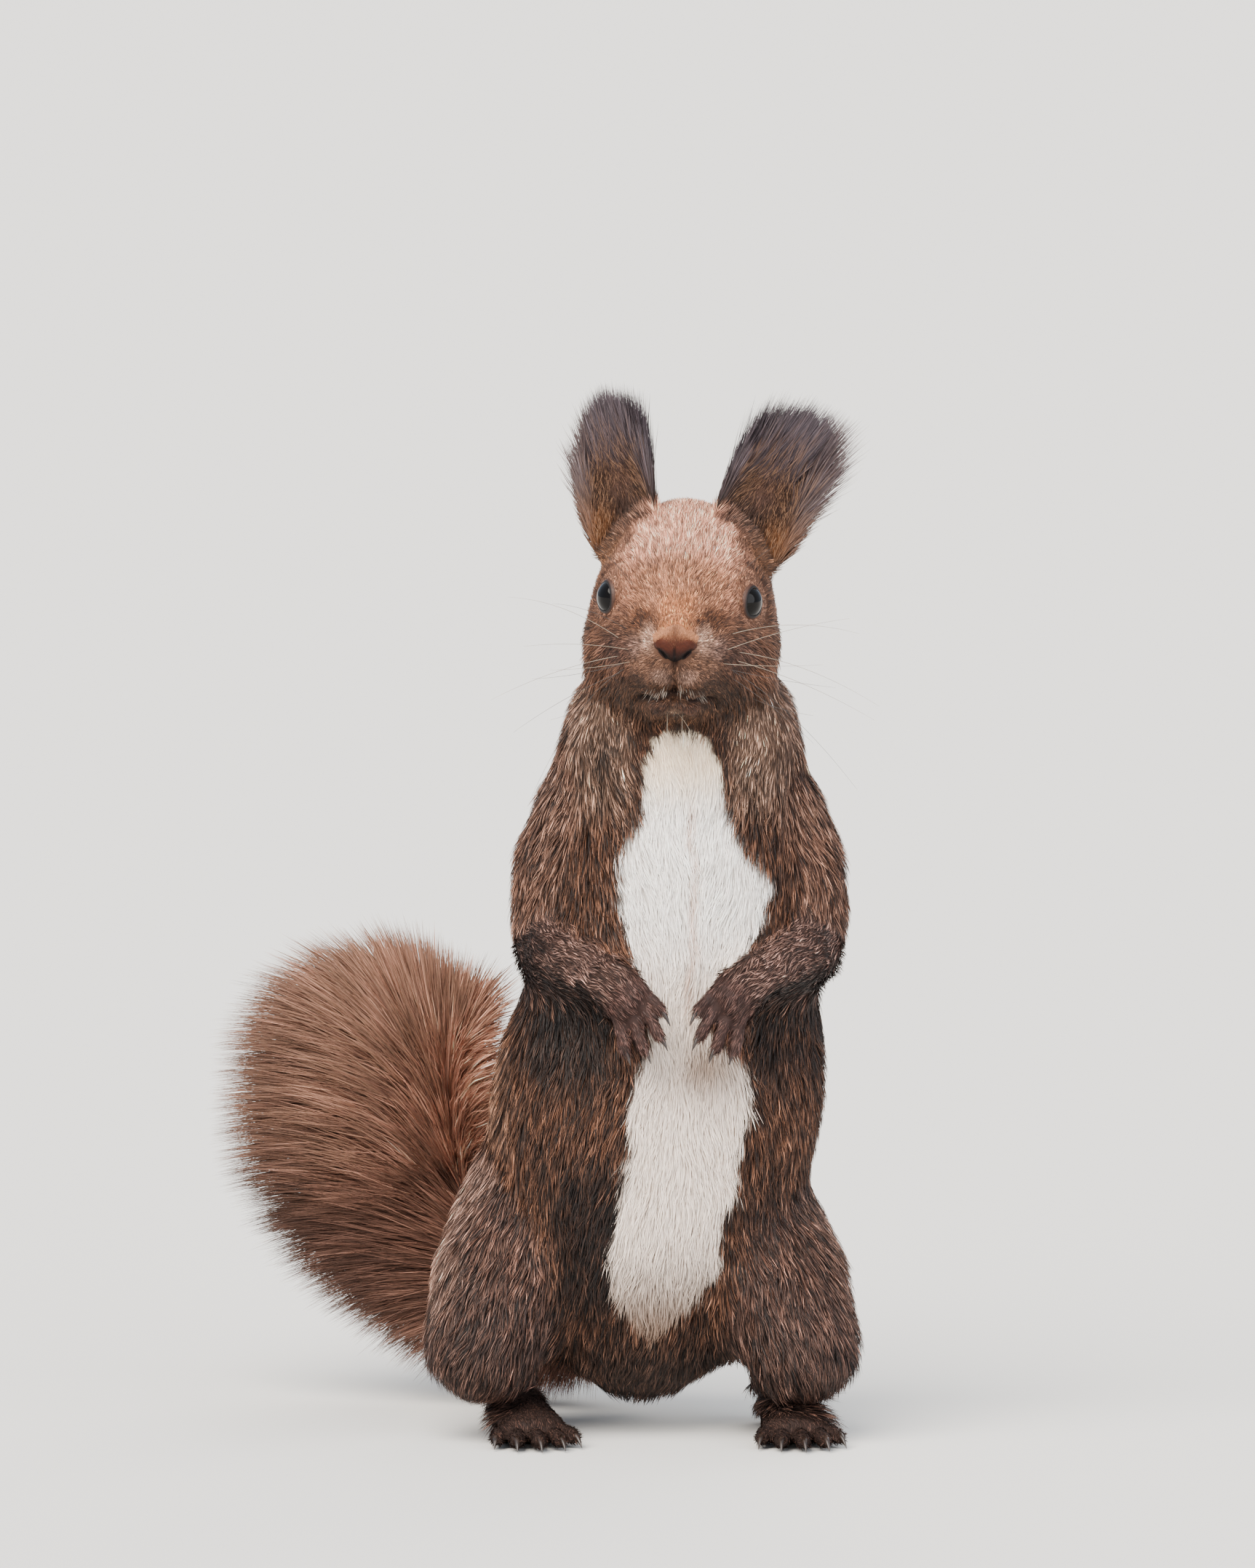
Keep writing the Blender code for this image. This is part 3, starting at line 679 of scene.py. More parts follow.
def shape_face(mesh):
    """Presses the mouth, the cleft of the lip and the eyes' openings into the skin."""
    points, normals = points_of(mesh), normals_of(mesh)
    h = in_head(points)
    front = rise(17, 22, h[:, 1]) * fall(8, 10.5, np.abs(h[:, 0]))
    line = bell(h[:, 2] - mouth_level(h[:, 0]), 0.75) * front
    cleft = bell(h[:, 0], 0.55) * rise(24, 27, h[:, 1])
    cleft = cleft * rise(-21, -19.6, h[:, 2]) * fall(-11.5, -9.5, h[:, 2])
    points = points - normals * (line * 1.6 + cleft * 1.2)[:, None]
    for side in (-1, 1):
        centre = eye_frame(side)[0]
        away, r, edge = eye_angles(side, points)
        near = r < EYE_RADIUS + 4.5
        inside = near & (away < edge + 9)
        way = unit(points - centre)
        points[inside] = centre + way[inside] * (EYE_RADIUS - 0.9)
        cover = near & ~inside & (away < edge + 60)
        least = EYE_RADIUS + 0.05 + 0.35 * rise(9, 22, away - edge)
        most = EYE_RADIUS + 0.3 + 3 * rise(9, 42, away - edge)
        height = np.clip(r, least, np.maximum(least, most))
        points[cover] = centre + way[cover] * height[cover, None]
    set_points(mesh, points)


def make_eyes():
    for side, name in SIDES:
        centre, out, slit, across = eye_frame(side)
        columns, rows = 48, 32
        angles = turns(columns)
        ring = np.cos(angles)[:, None] * slit + np.sin(angles)[:, None] * across
        rings = []
        for k in range(1, rows):
            turn = math.pi * k / rows
            rings.append(centre + (ring * math.sin(turn) + out * math.cos(turn)) * EYE_RADIUS)
        ball = loft(f"eyeball_{name}", rings, (centre + out * EYE_RADIUS, centre - out * EYE_RADIUS))
        height = (points_of(ball.data)[:, 2] - centre[2]) / EYE_RADIUS
        layer = ball.data.attributes.new("rough", "FLOAT", "POINT")
        layer.data.foreach_set("value", mix(0.10, 0.045, rise(-0.1, 0.5, height)).astype(np.float32))
        show(ball, "eye", "eye", [f"eye_{name}"])
        # the lid is a rounded rim on the ball round the opening, dark inside
        around = np.linspace(0, 2 * math.pi, 120, endpoint=False)
        edge = np.radians(opening(around))
        profile = (
            (0, -0.25), (-0.015, 0.05), (0.02, 0.16), (0.06, 0.22), (0.10, 0.27),
            (0.15, 0.30), (0.22, 0.30), (0.32, 0.22), (0.46, -0.2),
        )
        ring = np.cos(around)[:, None] * slit + np.sin(around)[:, None] * across
        lid = []
        for turn, high in profile:
            theta = edge + turn
            way = ring * np.sin(theta)[:, None] + out * np.cos(theta)[:, None]
            lid.append(centre + way * (EYE_RADIUS + high))
        lid = np.array(lid)
        faces = ring_faces(len(profile), len(around))
        rim = new_mesh(f"eyelid_{name}", lid.reshape(-1, 3), faces)
        dark = fall(0.03, 0.16, np.array([turn for turn, _ in profile]))
        tone = blend(srgb(62, 40, 31), srgb(10, 6, 6), dark)
        paint(rim.data, np.repeat(tone, len(around), axis=0))
        show(rim, "lid")


# ------------------------------------------------------------------ materials
def principled(name, specular, rough, grain, relief, colour=None, second=None):
    """A surface whose roughness and relief vary with noise of this grain, per metre.

    Its colour is painted on the mesh unless one is given; a second makes it vary.
    """
    made = bpy.data.materials.new(name)
    made.use_nodes = True
    nodes = made.node_tree.nodes
    shader = nodes["Principled BSDF"]

    def node(kind, **values):
        new = nodes.new("ShaderNode" + kind)
        for key, value in values.items():
            new.inputs[key.replace("_", " ")].default_value = value
        return new

    def link(source, output, target, socket):
        made.node_tree.links.new(source.outputs[output], target.inputs[socket])

    shader.inputs["Base Color"].default_value = (*(colour or (0.5, 0.5, 0.5)), 1)
    shader.inputs["Specular IOR Level"].default_value = specular
    place = node("TexCoord")
    noise = node("TexNoise", Scale=grain, Detail=3)
    link(place, "Object", noise, "Vector")
    level = node("MapRange", From_Min=0.3, From_Max=0.7, To_Min=rough[0], To_Max=rough[1])
    link(noise, "Fac", level, "Value")
    link(level, "Result", shader, "Roughness")
    if relief:
        bump = node("Bump", Strength=0.6, Distance=relief * MM)
        link(noise, "Fac", bump, "Height")
        link(bump, "Normal", shader, "Normal")
    if not colour:
        painted = node("Attribute")
        painted.attribute_name = "tone"
        link(painted, "Color", shader, "Base Color")
    if second:
        ramp = node("ValToRGB")
        for stop, position, tone in zip(ramp.color_ramp.elements, (0.35, 0.65), (colour, second)):
            stop.position, stop.color = position, (*tone, 1)
        link(noise, "Fac", ramp, "Fac")
        link(ramp, "Color", shader, "Base Color")
    return made


# name, specular level, roughness, grain in 1/m, relief in mm, and where it isn't painted, its colours
SURFACES = {
    "skin": ("skin_under_coat", 0.2, (0.7, 0.9), 700, 0.12),
    "coat": ("coat_hair", 0.25, (0.52, 0.74), 1500, 0.03),
    "eye": ("eye_black", 0.14, (0.04, 0.06), 300, 0, (0.0016, 0.0014, 0.0016),
        (0.0024, 0.0017, 0.0013)),
    "whiskers_dark": ("whisker_dark", 0.5, (0.32, 0.5), 400, 0.01, (0.02, 0.013, 0.01),
        (0.032, 0.022, 0.016)),
    "whiskers_pale": ("whisker_pale", 0.5, (0.32, 0.5), 400, 0.01, (0.16, 0.12, 0.085),
        (0.24, 0.185, 0.13)),
    "lid": ("lid_skin", 0.25, (0.45, 0.65), 2500, 0.06),
    "claw": ("claw_horn", 0.5, (0.24, 0.44), 900, 0.03, (0.012, 0.007, 0.005), (0.024, 0.014, 0.010)),
    "nose": ("nose_skin", 0.14, (0.5, 0.74), 3200, 0.09),
    "floor": ("floor", 0.1, (0.88, 0.94), 4, 0, (0.62, 0.60, 0.57)),
}


def make_materials():
    made = {key: principled(*row) for key, row in SURFACES.items()}
    # the ball is wet and clear above, and a little duller below
    nodes, links = made["eye"].node_tree.nodes, made["eye"].node_tree.links
    film = nodes.new("ShaderNodeAttribute")
    film.attribute_name = "rough"
    links.new(film.outputs["Fac"], nodes["Principled BSDF"].inputs["Roughness"])
    return made


def paint(mesh, colours):
    """Stores a colour at each vertex."""
    layer = mesh.attributes.new("tone", "FLOAT_COLOR", "POINT")
    rgba = np.ones((len(colours), 4), np.float32)
    rgba[:, :3] = colours
    layer.data.foreach_set("color", rgba.ravel())


# ------------------------------------------------------------------ set, camera and light
# name, where it stands, strength, width in degrees, colour
SUNS = (
    ("key", (-0.45, -0.75, 1), 9, 50, (1, 0.94, 0.86)),
    ("fill", (0.9, -0.9, 0.5), 3, 60, (0.95, 0.97, 1)),
    ("back", (0.3, 1, 0.9), 2, 40, (1, 0.94, 0.86)),
)
LOOK_AT = (-6.4, 0, 151)
CAMERA_DISTANCE, CAMERA_ELEVATION, CAMERA_LENS = 3.5, 6, 350


def stage():
    """The floor, the sky, three suns and the photo's camera."""
    bpy.ops.mesh.primitive_plane_add(size=60, location=(0, 0, 0))
    floor = bpy.context.object
    floor.name = "floor"
    floor.data.materials.append(MATERIALS["floor"])

    world = bpy.data.worlds.new("world")
    bpy.context.scene.world = world
    world.use_nodes = True
    world.node_tree.nodes["Background"].inputs["Color"].default_value = (0.72, 0.84, 1, 1)
    world.node_tree.nodes["Background"].inputs["Strength"].default_value = 1

    for name, towards, power, angle, colour in SUNS:
        light = bpy.data.lights.new(name, "SUN")
        light.energy, light.angle, light.color = power, math.radians(angle), colour
        obj = bpy.data.objects.new(name, light)
        obj.rotation_euler = (-Vector(towards)).to_track_quat("-Z", "Y").to_euler()
        bpy.context.scene.collection.objects.link(obj)

    look_at = Vector((np.array(LOOK_AT) + OFFSET) * MM)
    elevation = math.radians(CAMERA_ELEVATION)
    data = bpy.data.cameras.new("camera")
    data.sensor_width = 36
    data.lens = CAMERA_LENS
    camera = bpy.data.objects.new("camera", data)
    camera.location = look_at + Vector((0, -math.cos(elevation), math.sin(elevation))) * CAMERA_DISTANCE
    camera.rotation_euler = (look_at - camera.location).to_track_quat("-Z", "Y").to_euler()
    bpy.context.scene.collection.objects.link(camera)
    bpy.context.scene.camera = camera


# ------------------------------------------------------------------ colours, as sRGB
def srgb(*rgb):
    c = np.array(rgb, float) / 255
    return np.where(c <= 0.04045, c / 12.92, ((c + 0.055) / 1.055) ** 2.4)


BODY_TONES = {
    "trunk": (74, 45, 29), "head": (90, 58, 41), "upper_arm": (98, 66, 51), "forearm": (96, 69, 60),
    "hand": (78, 53, 47), "thigh": (72, 47, 37), "shank": (58, 39, 33), "foot": (64, 44, 37),
    "tail": (118, 84, 70), "ear": (88, 58, 42),
}
WHITE = srgb(250, 243, 236)
WHITE_EDGE = (
    (24, -1.5, -1), (28, -1.5, 0.5), (30.5, -4.3, 3.9), (38, -8.8, 11.4), (45, -10.3, 14.2),
    (53, -8.8, 15), (60, -6.6, 17.2), (68, -5.5, 18.7), (80, -5.3, 20.7), (90, -3.6, 20.4),
    (97, -2, 14), (101, -0.3, 12), (107.5, -2.8, 15.7), (114, -5.3, 20), (120, -7.1, 22.6),
    (126, -8.3, 24.8), (132, -9, 26.4), (138, -9, 21.4), (144.5, -4.6, 18.2), (151, -3.6, 15.4),
    (157, -2.8, 14.5), (163, -0.3, 12), (166, 3, 8),
)


def wave(points, scale, seed):
    """A smooth irregular number between about -1 and 1 at each point."""
    rng = np.random.default_rng(seed)
    total = np.zeros(len(points))
    for _ in range(6):
        way = unit(rng.normal(size=3))
        total += np.sin(points @ way * (2 * math.pi / scale) * rng.uniform(0.6, 1.5)
            + rng.uniform(0, 6.28))
    return total / 3


def whiteness(points, normals, trunk):
    """How white the coat is here: the bib from the throat to the groin."""
    rows = np.array(WHITE_EDGE)
    x = points[:, 0] + 0.9 * wave(points, 3.2, 5)
    left = np.interp(points[:, 2], rows[:, 0], rows[:, 1])
    right = np.interp(points[:, 2], rows[:, 0], rows[:, 2])
    inside = rise(-0.7, 0.7, x - left) * rise(-0.7, 0.7, right - x)
    high = rise(25, 29, points[:, 2]) * fall(164, 166.5, points[:, 2])
    return inside * high * rise(0.05, 0.35, -normals[:, 1]) * rise(0.12, 0.4, trunk)


def blot(h, side, forward, up, radius):
    """1 at a place in the head's frame, falling to 0 at the radius."""
    gap = np.linalg.norm(h - np.array((side, forward, up)), axis=1)
    return fall(0.35 * radius, radius, gap)


def layers_on(base):
    """A function that lays a colour over base, in place, by a weight at each point."""

    def lay(colour, weight):
        base[:] = blend(base, srgb(*colour), np.clip(weight, 0, 1))

    return lay


def head_colour(points):
    h = in_head(points)
    s, f, u = np.abs(h[:, 0]), h[:, 1], h[:, 2]
    base = np.tile(srgb(*BODY_TONES["head"]), (len(h), 1))

    lay = layers_on(base)

    def pair(side, forward, up, radius):
        return np.maximum(blot(h, side, forward, up, radius), blot(h, -side, forward, up, radius))

    def mark(side, up, radius, tall=1):
        gap = np.hypot(s - side, (u - up) / tall)
        return fall(0.3 * radius, radius, gap) * rise(12, 16, f)

    lay((156, 102, 76), rise(-5, 3, u) * rise(-16, -6, f) * fall(11, 18, s))
    lay((98, 68, 52), rise(5, 11, u) * rise(12, 17, s) * 0.7)
    lay((206, 141, 114), rise(5, 12, u) * rise(-12, 0, f) * fall(8, 17, s))
    lay((118, 74, 46), fall(3, 8, s) * rise(-6, -2, u) * fall(0, 4, u) * rise(8, 13, f) * 0.95)
    lay((150, 98, 70), rise(12, 17, f) * rise(-7, -3, u) * fall(8, 12, s))
    lay((164, 100, 62), fall(2.4, 5.4, s) * rise(20, 24, f) * rise(-9, -6, u) * fall(1, 5, u))
    lay((72, 40, 20), mark(7.2, -2.9, 5.2, 0.85) * 0.92)
    lay((104, 71, 53), rise(20, 25, f) * fall(-7, -4, u) * fall(8, 12, s))
    lay((80, 55, 42), rise(9.5, 13, s) * rise(10, 13, u) * 0.85)
    lay((84, 60, 48), rise(6.2, 8.6, s) * rise(15.5, 18, u) * 0.9)
    # pale spots on the whisker pads beside the nose: pale fur, partly painted highlight on the pads'
    # upper corners
    lay((172, 130, 108), mark(6, -6.6, 2.6, 1.7) * 0.8)
    lay((132, 100, 88), mark(9, -8.6, 2.6, 1.3) * 0.55)
    lay((118, 92, 80), mark(2.6, -14.6, 3.2, 0.9) * 0.6)
    # painted shade at the corners of the mouth
    lay((52, 32, 22), mark(9, -17.6, 6.5, 0.8) * 0.85)
    lay((74, 50, 42), mark(13.6, -10, 5.5, 1) * 0.7)
    # painted shade under the jaw, on both sides of the chin
    lay((62, 40, 26), fall(-19, -14, u) * rise(2, 12, f) * 0.75)
    lay((146, 102, 80), pair(*EYE_PLACE, 8.6) * 0.5)
    lay((104, 68, 44), pair(17.5, -3, 9, 7) * 0.6)
    lay((62, 38, 27), rise(22, 25, f) * fall(-22, -19.6, u) * fall(4, 7, s))
    lay((144, 114, 92), blot(h, 0, 30, -23.8, 2.8) * 0.6)
    lay((84, 60, 49), rise(0, 0.2, ear_share(h)))
    return base * (1 + 0.20 * wave(points, 1.3, 61) + 0.15 * wave(points, 3.4, 62))[:, None]


def ear_colour(points, side):
    q = body_to_ear(side, points)
    outward = q[:, 0] * side / 9
    base = np.tile(srgb(82, 58, 48), (len(q), 1))
    front = rise(0.2, 1.6, -q[:, 1]) * fall(14, 17, q[:, 2])
    base = blend(base, srgb(54, 36, 27), front)
    base = base * (1 - 0.45 * front * bell(q[:, 0], 3.6) * rise(1, 5, q[:, 2]))[:, None]
    high = rise(11, 16, q[:, 2])
    base = blend(base, srgb(66, 56, 60), high * (1 - 0.5 * front))
    low = fall(1, 7, q[:, 2]) * rise(0.1, 0.7, outward)
    return blend(base, srgb(106, 64, 32), low * 0.7)


def body_colour(points, normals, weights):
    """Colour of the coat at each root, from the weights of the regions there."""
    total = np.zeros((len(points), 3))
    for k, name in enumerate(NAMES):
        share = weights[:, k : k + 1]
        part = part_of(name)
        if part == "head":
            total += share * head_colour(points)
        elif part == "ear":
            total += share * ear_colour(points, 1 if name.endswith("left") else -1)
        else:
            total += share * srgb(*BODY_TONES[part])
    x, _, z = points.T
    parts = ("trunk", "upper_arm", "forearm", "thigh")
    trunk, arms, forearms, thighs = (share_of(weights, part) for part in parts)
    away = np.abs(x - MIDLINE)
    lay = layers_on(total)

    lay((92, 62, 46), trunk * rise(140, 166, z) * rise(-0.3, 0.3, normals[:, 1]))
    lay((142, 108, 88), trunk * rise(144, 158, z) * rise(9, 16, away) * fall(-0.5, 0.2, normals[:, 1]))
    dark = np.exp(-(((x + 12) / 3.6) ** 2) - ((z - 159) / 7) ** 2)
    lay((104, 74, 60), np.maximum(trunk, arms) * rise(138, 152, z) * rise(18, 26, away) * 0.7)
    lay((36, 22, 15), trunk * dark * fall(-0.4, 0.2, normals[:, 1]) * 0.9)
    # painted shade: the forearms darker where they face down, away from the light above
    lay((38, 25, 20), forearms * rise(0.1, 0.6, -normals[:, 2]) * 0.9)
    # painted shadow under the forearms, on the flank below them, deeper on the left
    lay((26, 15, 10), trunk * rise(80, 92, z) * fall(106, 114, z) * rise(12, 18, away)
        * fall(30, 38, away) * np.where(x < 5, 0.9, 0.6))
    lay((132, 94, 72), trunk * fall(-37, -30, x) * rise(66, 78, z) * fall(98, 106, z) * 0.6)
    lay((30, 19, 15), forearms * fall(-30, -22, x) * 0.75)
    # painted shadow on the lower flank beside the bib's lower left
    lay((26, 14, 9), trunk * fall(56, 84, z) * rise(22, 40, z) * rise(-28, -18, x)
        * fall(-9, -4, x) * 0.9)
    lay((50, 32, 25), trunk * fall(54, 70, z) * rise(17, 22, x) * 0.7)
    lay((44, 30, 24), fall(20, 34, z) * rise(-24, -16, x) * fall(22, 30, x)
        * np.maximum(trunk, thighs) * 0.85)
    lay((92, 63, 49), trunk * rise(0, 0.7, normals[:, 1]) * 0.7)
    lay((150, 114, 98), thighs * rise(20, 44, z) * fall(56, 74, z)
        * rise(0.5, 0.95, np.abs(normals[:, 0])) * np.where(x < 0, 0.8, 0.3))
    lay((58, 39, 32), thighs * fall(24, 44, z) * 0.8)
    white = whiteness(points, normals, trunk)
    cream = blend(srgb(238, 222, 208), WHITE, rise(104, 128, z))
    cream = blend(cream, srgb(248, 226, 198), rise(148, 160, z))
    # painted shade: the bib darker towards the groin, between the thighs
    cream = blend(srgb(128, 104, 88), cream, rise(28, 56, z))
    seam = bell(x - 8.4 - 0.5 * wave(points, 14, 6), 0.8) * rise(98, 106, z) * fall(146, 156, z)
    cream = blend(cream, srgb(206, 170, 150), 0.7 * seam)
    # painted shade on the bib between the hands, with some brown hair there too
    shade = np.exp(-(((x - 11.5) / 7) ** 2) - ((z - 91.5) / 7) ** 2) * fall(-0.2, 0.3, normals[:, 1])
    cream = blend(cream, srgb(128, 98, 78), 0.8 * shade)
    return blend(total, cream, white), white


# ------------------------------------------------------------------ how the coat lies
NAMES = [*bones(), "ear_right", "ear_left"]
LIE = {
    "trunk": (6.8, 0.36, 0.17), "head": (3, 0.34, 0.16), "upper_arm": (6.2, 0.34, 0.165),
    "forearm": (4.4, 0.24, 0.15), "hand": (2.4, 0.24, 0.15), "thigh": (6.8, 0.36, 0.17),
    "shank": (5.2, 0.32, 0.165), "foot": (2.6, 0.26, 0.16), "tail": (12, 0.6, 0.3),
    "ear": (4, 0.35, 0.18),
}


def share_of(weights, part):
    """The weight of a part of the body, both sides together."""
    return sum(weights[:, k] for k, name in enumerate(NAMES) if part_of(name) == part)


def skull_ratio(h):
    """How far out a place is from the head's axis, where 1 is the outside of the skull."""
    rows = np.array(HEAD)
    level, width, up, down = (np.interp(h[:, 1], rows[:, 0], rows[:, k]) for k in (1, 2, 3, 4))
    above = h[:, 2] > level
    return np.hypot(h[:, 0] / width, (h[:, 2] - level) / np.where(above, up, down))


def flow_of(name, points, normals, way):
    """The way the hairs point in one region, before it is laid into the surface."""
    part = part_of(name)
    side = -1 if name.endswith("right") else 1
    x, _, z = points.T
    if part == "head":
        h = in_head(points)
        out = unit(h - np.array((0, 33, -9)))
        for eye in (-1, 1):
            gap = h - np.array((eye * EYE_PLACE[0], *EYE_PLACE[1:]))
            near = fall(EYE_RADIUS, EYE_RADIUS + 4, np.linalg.norm(gap, axis=1))
            out = out + unit(gap) * (1.6 * near)[:, None]
        out[:, 2] -= 1.6 * rise(0, 22, -h[:, 1])
        out[:, 2] -= 1 * rise(7, 16, np.abs(h[:, 0])) * fall(-14, -2, h[:, 2])
        out[:, 2] -= 0.8 * fall(-24, -18, h[:, 2])
        return head_way(out)
    if part == "ear":
        q = body_to_ear(side, points)
        across = q[:, 0] * side / 10
        lean = 0.1 + 0.4 * rise(-0.3, 1, across)
        local = np.column_stack((side * lean, np.zeros(len(q)), np.ones(len(q))))
        stand = ear_frame(side)[1]
        return unit((local @ stand.T) @ HEAD_TURN.T)
    if part == "trunk":
        front = rise(0.1, 0.7, -normals[:, 1])
        across = np.clip((x - 7.5) / 14, -1, 1)
        pull = mix(0.16, -0.30, rise(84, 104, z)) * (1 - 0.4 * rise(150, 165, z))
        d = np.column_stack((front * across * pull, 0.25 * (1 - front) - 0.1 * front, -np.ones(len(x))))
        return unit(d)
    if part in ("thigh", "shank"):
        down = np.array((side * 0.25, 0.1, -1))
        return unit(way * 0.55 + down * 0.6)
    if part == "upper_arm":
        return unit(way + np.array((side * 0.1, 0, -0.5)))
    return way


def ear_share(h):
    """1 on the ears, 0 on the skull."""
    ratio = skull_ratio(h)
    return rise(1.03, 1.14, ratio) * rise(4, 8, h[:, 2]) * fall(8, 11, h[:, 1])


def lie_of_coat(mesh):
    """At each vertex: weights of the regions, the hairs' flow, and their length, lift and width."""
    points, normals = points_of(mesh), normals_of(mesh)
    paths = bones()
    gaps, flows = [], []
    for name in paths:
        gap, way = nearest_on(paths[name], points)
        gaps.append(gap)
        flows.append(flow_of(name, points, normals, way))
    h = in_head(points)
    ear = ear_share(h)
    for name, side in (("ear_right", -1), ("ear_left", 1)):
        gaps.append(np.where((ear > 0.5) & (h[:, 0] * side > 0), -99, 99))
        flows.append(flow_of(name, points, normals, None))
    nearest = np.argmin(np.array(gaps), axis=0)
    weights = np.zeros((len(points), len(NAMES)))
    weights[np.arange(len(points)), nearest] = 1
    weights = spread(mesh, weights, 14)
    ears = [NAMES.index("ear_right"), NAMES.index("ear_left")]
    for k in ears:
        weights[:, k] = np.where(nearest == k, 1, 0)
    others = [k for k in range(len(NAMES)) if k not in ears]
    rest = weights[:, others].sum(axis=1, keepdims=True)
    in_ear = weights[:, ears].sum(axis=1, keepdims=True)
    weights[:, others] *= (1 - in_ear) / np.maximum(rest, 1e-6)

    flow = sum(weights[:, k : k + 1] * flows[k] for k in range(len(NAMES)))
    flow = unit(flat_on(flow, normals))
    flow = spread(mesh, flow, 6)
    sizes = np.array([LIE[part_of(n)] for n in NAMES])
    length, lift, width = (weights @ sizes).T

    neck = rise(148, 162, points[:, 2]) * share_of(weights, "trunk")
    length = length * mix(1, mix(0.55, 0.85, rise(-6, 8, points[:, 1])), neck)
    width = width * mix(1, 0.7, neck)
    head = share_of(weights, "head")
    s, f, u = np.abs(h[:, 0]), h[:, 1], h[:, 2]
    face = 1.25 + 1.4 * rise(2, 15, 33 - f) + 0.7 * rise(12, 26, 33 - f)
    cheek = rise(8, 15, s) * fall(-9, -3, u) * fall(12, 20, f)
    face = face + 2.4 * cheek + 1.8 * rise(4, 20, -f)
    face = face + 2.8 * fall(-22, -15, u) * fall(16, 23, f) * rise(-12, -2, f)
    face = face + 2.2 * rise(11, 17, s) * fall(-20, -13, u) * fall(8, 14, f)
    face = face * (1 - 0.4 * rise(9, 14, s) * rise(3, 9, u) * rise(-12, -4, f))
    eyes = np.minimum(*(np.linalg.norm(points - eye_frame(side)[0], axis=1) for side in (-1, 1)))
    face = mix(1, face, rise(EYE_RADIUS + 0.5, EYE_RADIUS + 6, eyes))
    length = length * (1 - head) + face * head
    lift = lift * (1 - head) + head * mix(0.34, 0.42, rise(1.5, 5, face))
    width = width * (1 - head) + head * mix(0.085, 0.21, rise(1.2, 6, face))
    return weights, flow, np.column_stack((length, lift, width))


# ------------------------------------------------------------------ hairs as tapered blades
def triangles_of(mesh):
    """The mesh's triangles."""
    mesh.calc_loop_triangles()
    tri = np.empty(len(mesh.loop_triangles) * 3, np.int32)
    mesh.loop_triangles.foreach_get("vertices", tri)
    return tri.reshape(-1, 3)


def scatter(points, triangles, density, count):
    """count places over the triangles: the triangle and barycentric weights of each."""
    a, b, c = (points[triangles[:, k]] for k in range(3))
    area = np.linalg.norm(np.cross(b - a, c - a), axis=1) / 2
    weight = np.cumsum(area * density[triangles].mean(axis=1))
    picks = (np.arange(count) + RNG.random(count)) / count * weight[-1]
    chosen = np.minimum(np.searchsorted(weight, picks), len(triangles) - 1)
    r = np.sqrt(RNG.random(count))
    t = RNG.random(count)
    return triangles[chosen], np.column_stack((1 - r, r * (1 - t), r * t))


def at(values, corners, shares):
    """Values at places inside triangles."""
    return np.einsum("ij,ijk->ik", shares, values[corners])


def clumped(lines, spacing, strength, seed, key=0):
    """Draws hairs together into locks of neighbours, at the root for key 0 and at the tip for -1."""
    places = lines[:, key]
    rng = np.random.default_rng(seed)
    count = max(1, int(len(places) / spacing))
    heads = rng.choice(len(places), count, replace=False)
    tree = KDTree(count)
    for k, place in enumerate(places[heads].tolist()):
        tree.insert(place, k)
    tree.balance()
    owner = heads[np.array([tree.find(place)[1] for place in places.tolist()])]
    t = np.linspace(0, 1, lines.shape[1])[None, :, None]
    grip = strength * rng.uniform(0.4, 1.35, (len(places), 1, 1)) * t**1.5
    target = lines[owner] + (places - places[owner])[:, None] * 0.25
    return mix(lines, target, np.clip(grip, 0, 0.95)), owner


def blades(lines, facing, width, roll):
    """Blade corners and faces, from lines of hairs x rows x 3 and the normal at each root."""
    count, rows = lines.shape[:2]
    along = unit(np.gradient(lines, axis=1))
    side = unit(np.cross(along, facing[:, None]))
    up = np.cross(side, along)
    c, s = np.cos(roll)[:, None, None], np.sin(roll)[:, None, None]
    side = side * c + up * s
    shape = {3: (0.8, 0.85), 4: (0.7, 1, 0.85)}[rows]
    half = width[:, None, None] / 2 * np.array(shape)[None, :, None]
    left = lines[:, :-1] - side[:, :-1] * half
    right = lines[:, :-1] + side[:, :-1] * half
    pairs = np.stack((left, right), axis=2).reshape(count, -1, 3)
    points = np.concatenate((pairs, lines[:, -1:]), axis=1)
    each = points.shape[1]
    pattern = []
    for k in range(rows - 2):
        a = 2 * k
        pattern += [(a, a + 1, a + 3), (a, a + 3, a + 2)]
    pattern.append((each - 3, each - 2, each - 1))
    faces = (np.arange(count)[:, None, None] * each + np.array(pattern)[None]).reshape(-1, 3)
    return points.reshape(-1, 3), faces


def coat_piece(name, lines, facing, width, colours, uv, slot):
    """One mesh of hairs; colours is hairs x rows x 3, uv the root's place on the unwrap."""
    lines[..., 2] = np.maximum(lines[..., 2], LOWEST_HAIR)
    roll = RNG.normal(0, 0.45, len(lines))
    points, faces = blades(lines, facing, width, roll)
    rows = lines.shape[1]
    pairs = np.repeat(colours[:, :-1], 2, axis=1)
    tone = np.concatenate((pairs, colours[:, -1:]), axis=1).reshape(-1, 3)
    obj = new_mesh(name, points, faces)
    paint(obj.data, tone)
    across = np.array([-0.0013, 0.0013] * (rows - 1) + [0])
    up = np.array([k / (rows - 1) * 0.003 - 0.0015 for k in range(rows - 1) for _ in (0, 1)] + [0.0015])
    place = np.clip(uv, 0.002, 0.998)[:, None] + np.column_stack((across, up))[None]
    layer = obj.data.uv_layers.new(name="OFBake")
    layer.data.foreach_set("uv", place.reshape(-1, 2)[faces.ravel()].astype(np.float32).ravel())
    show(obj, "coat", slot)


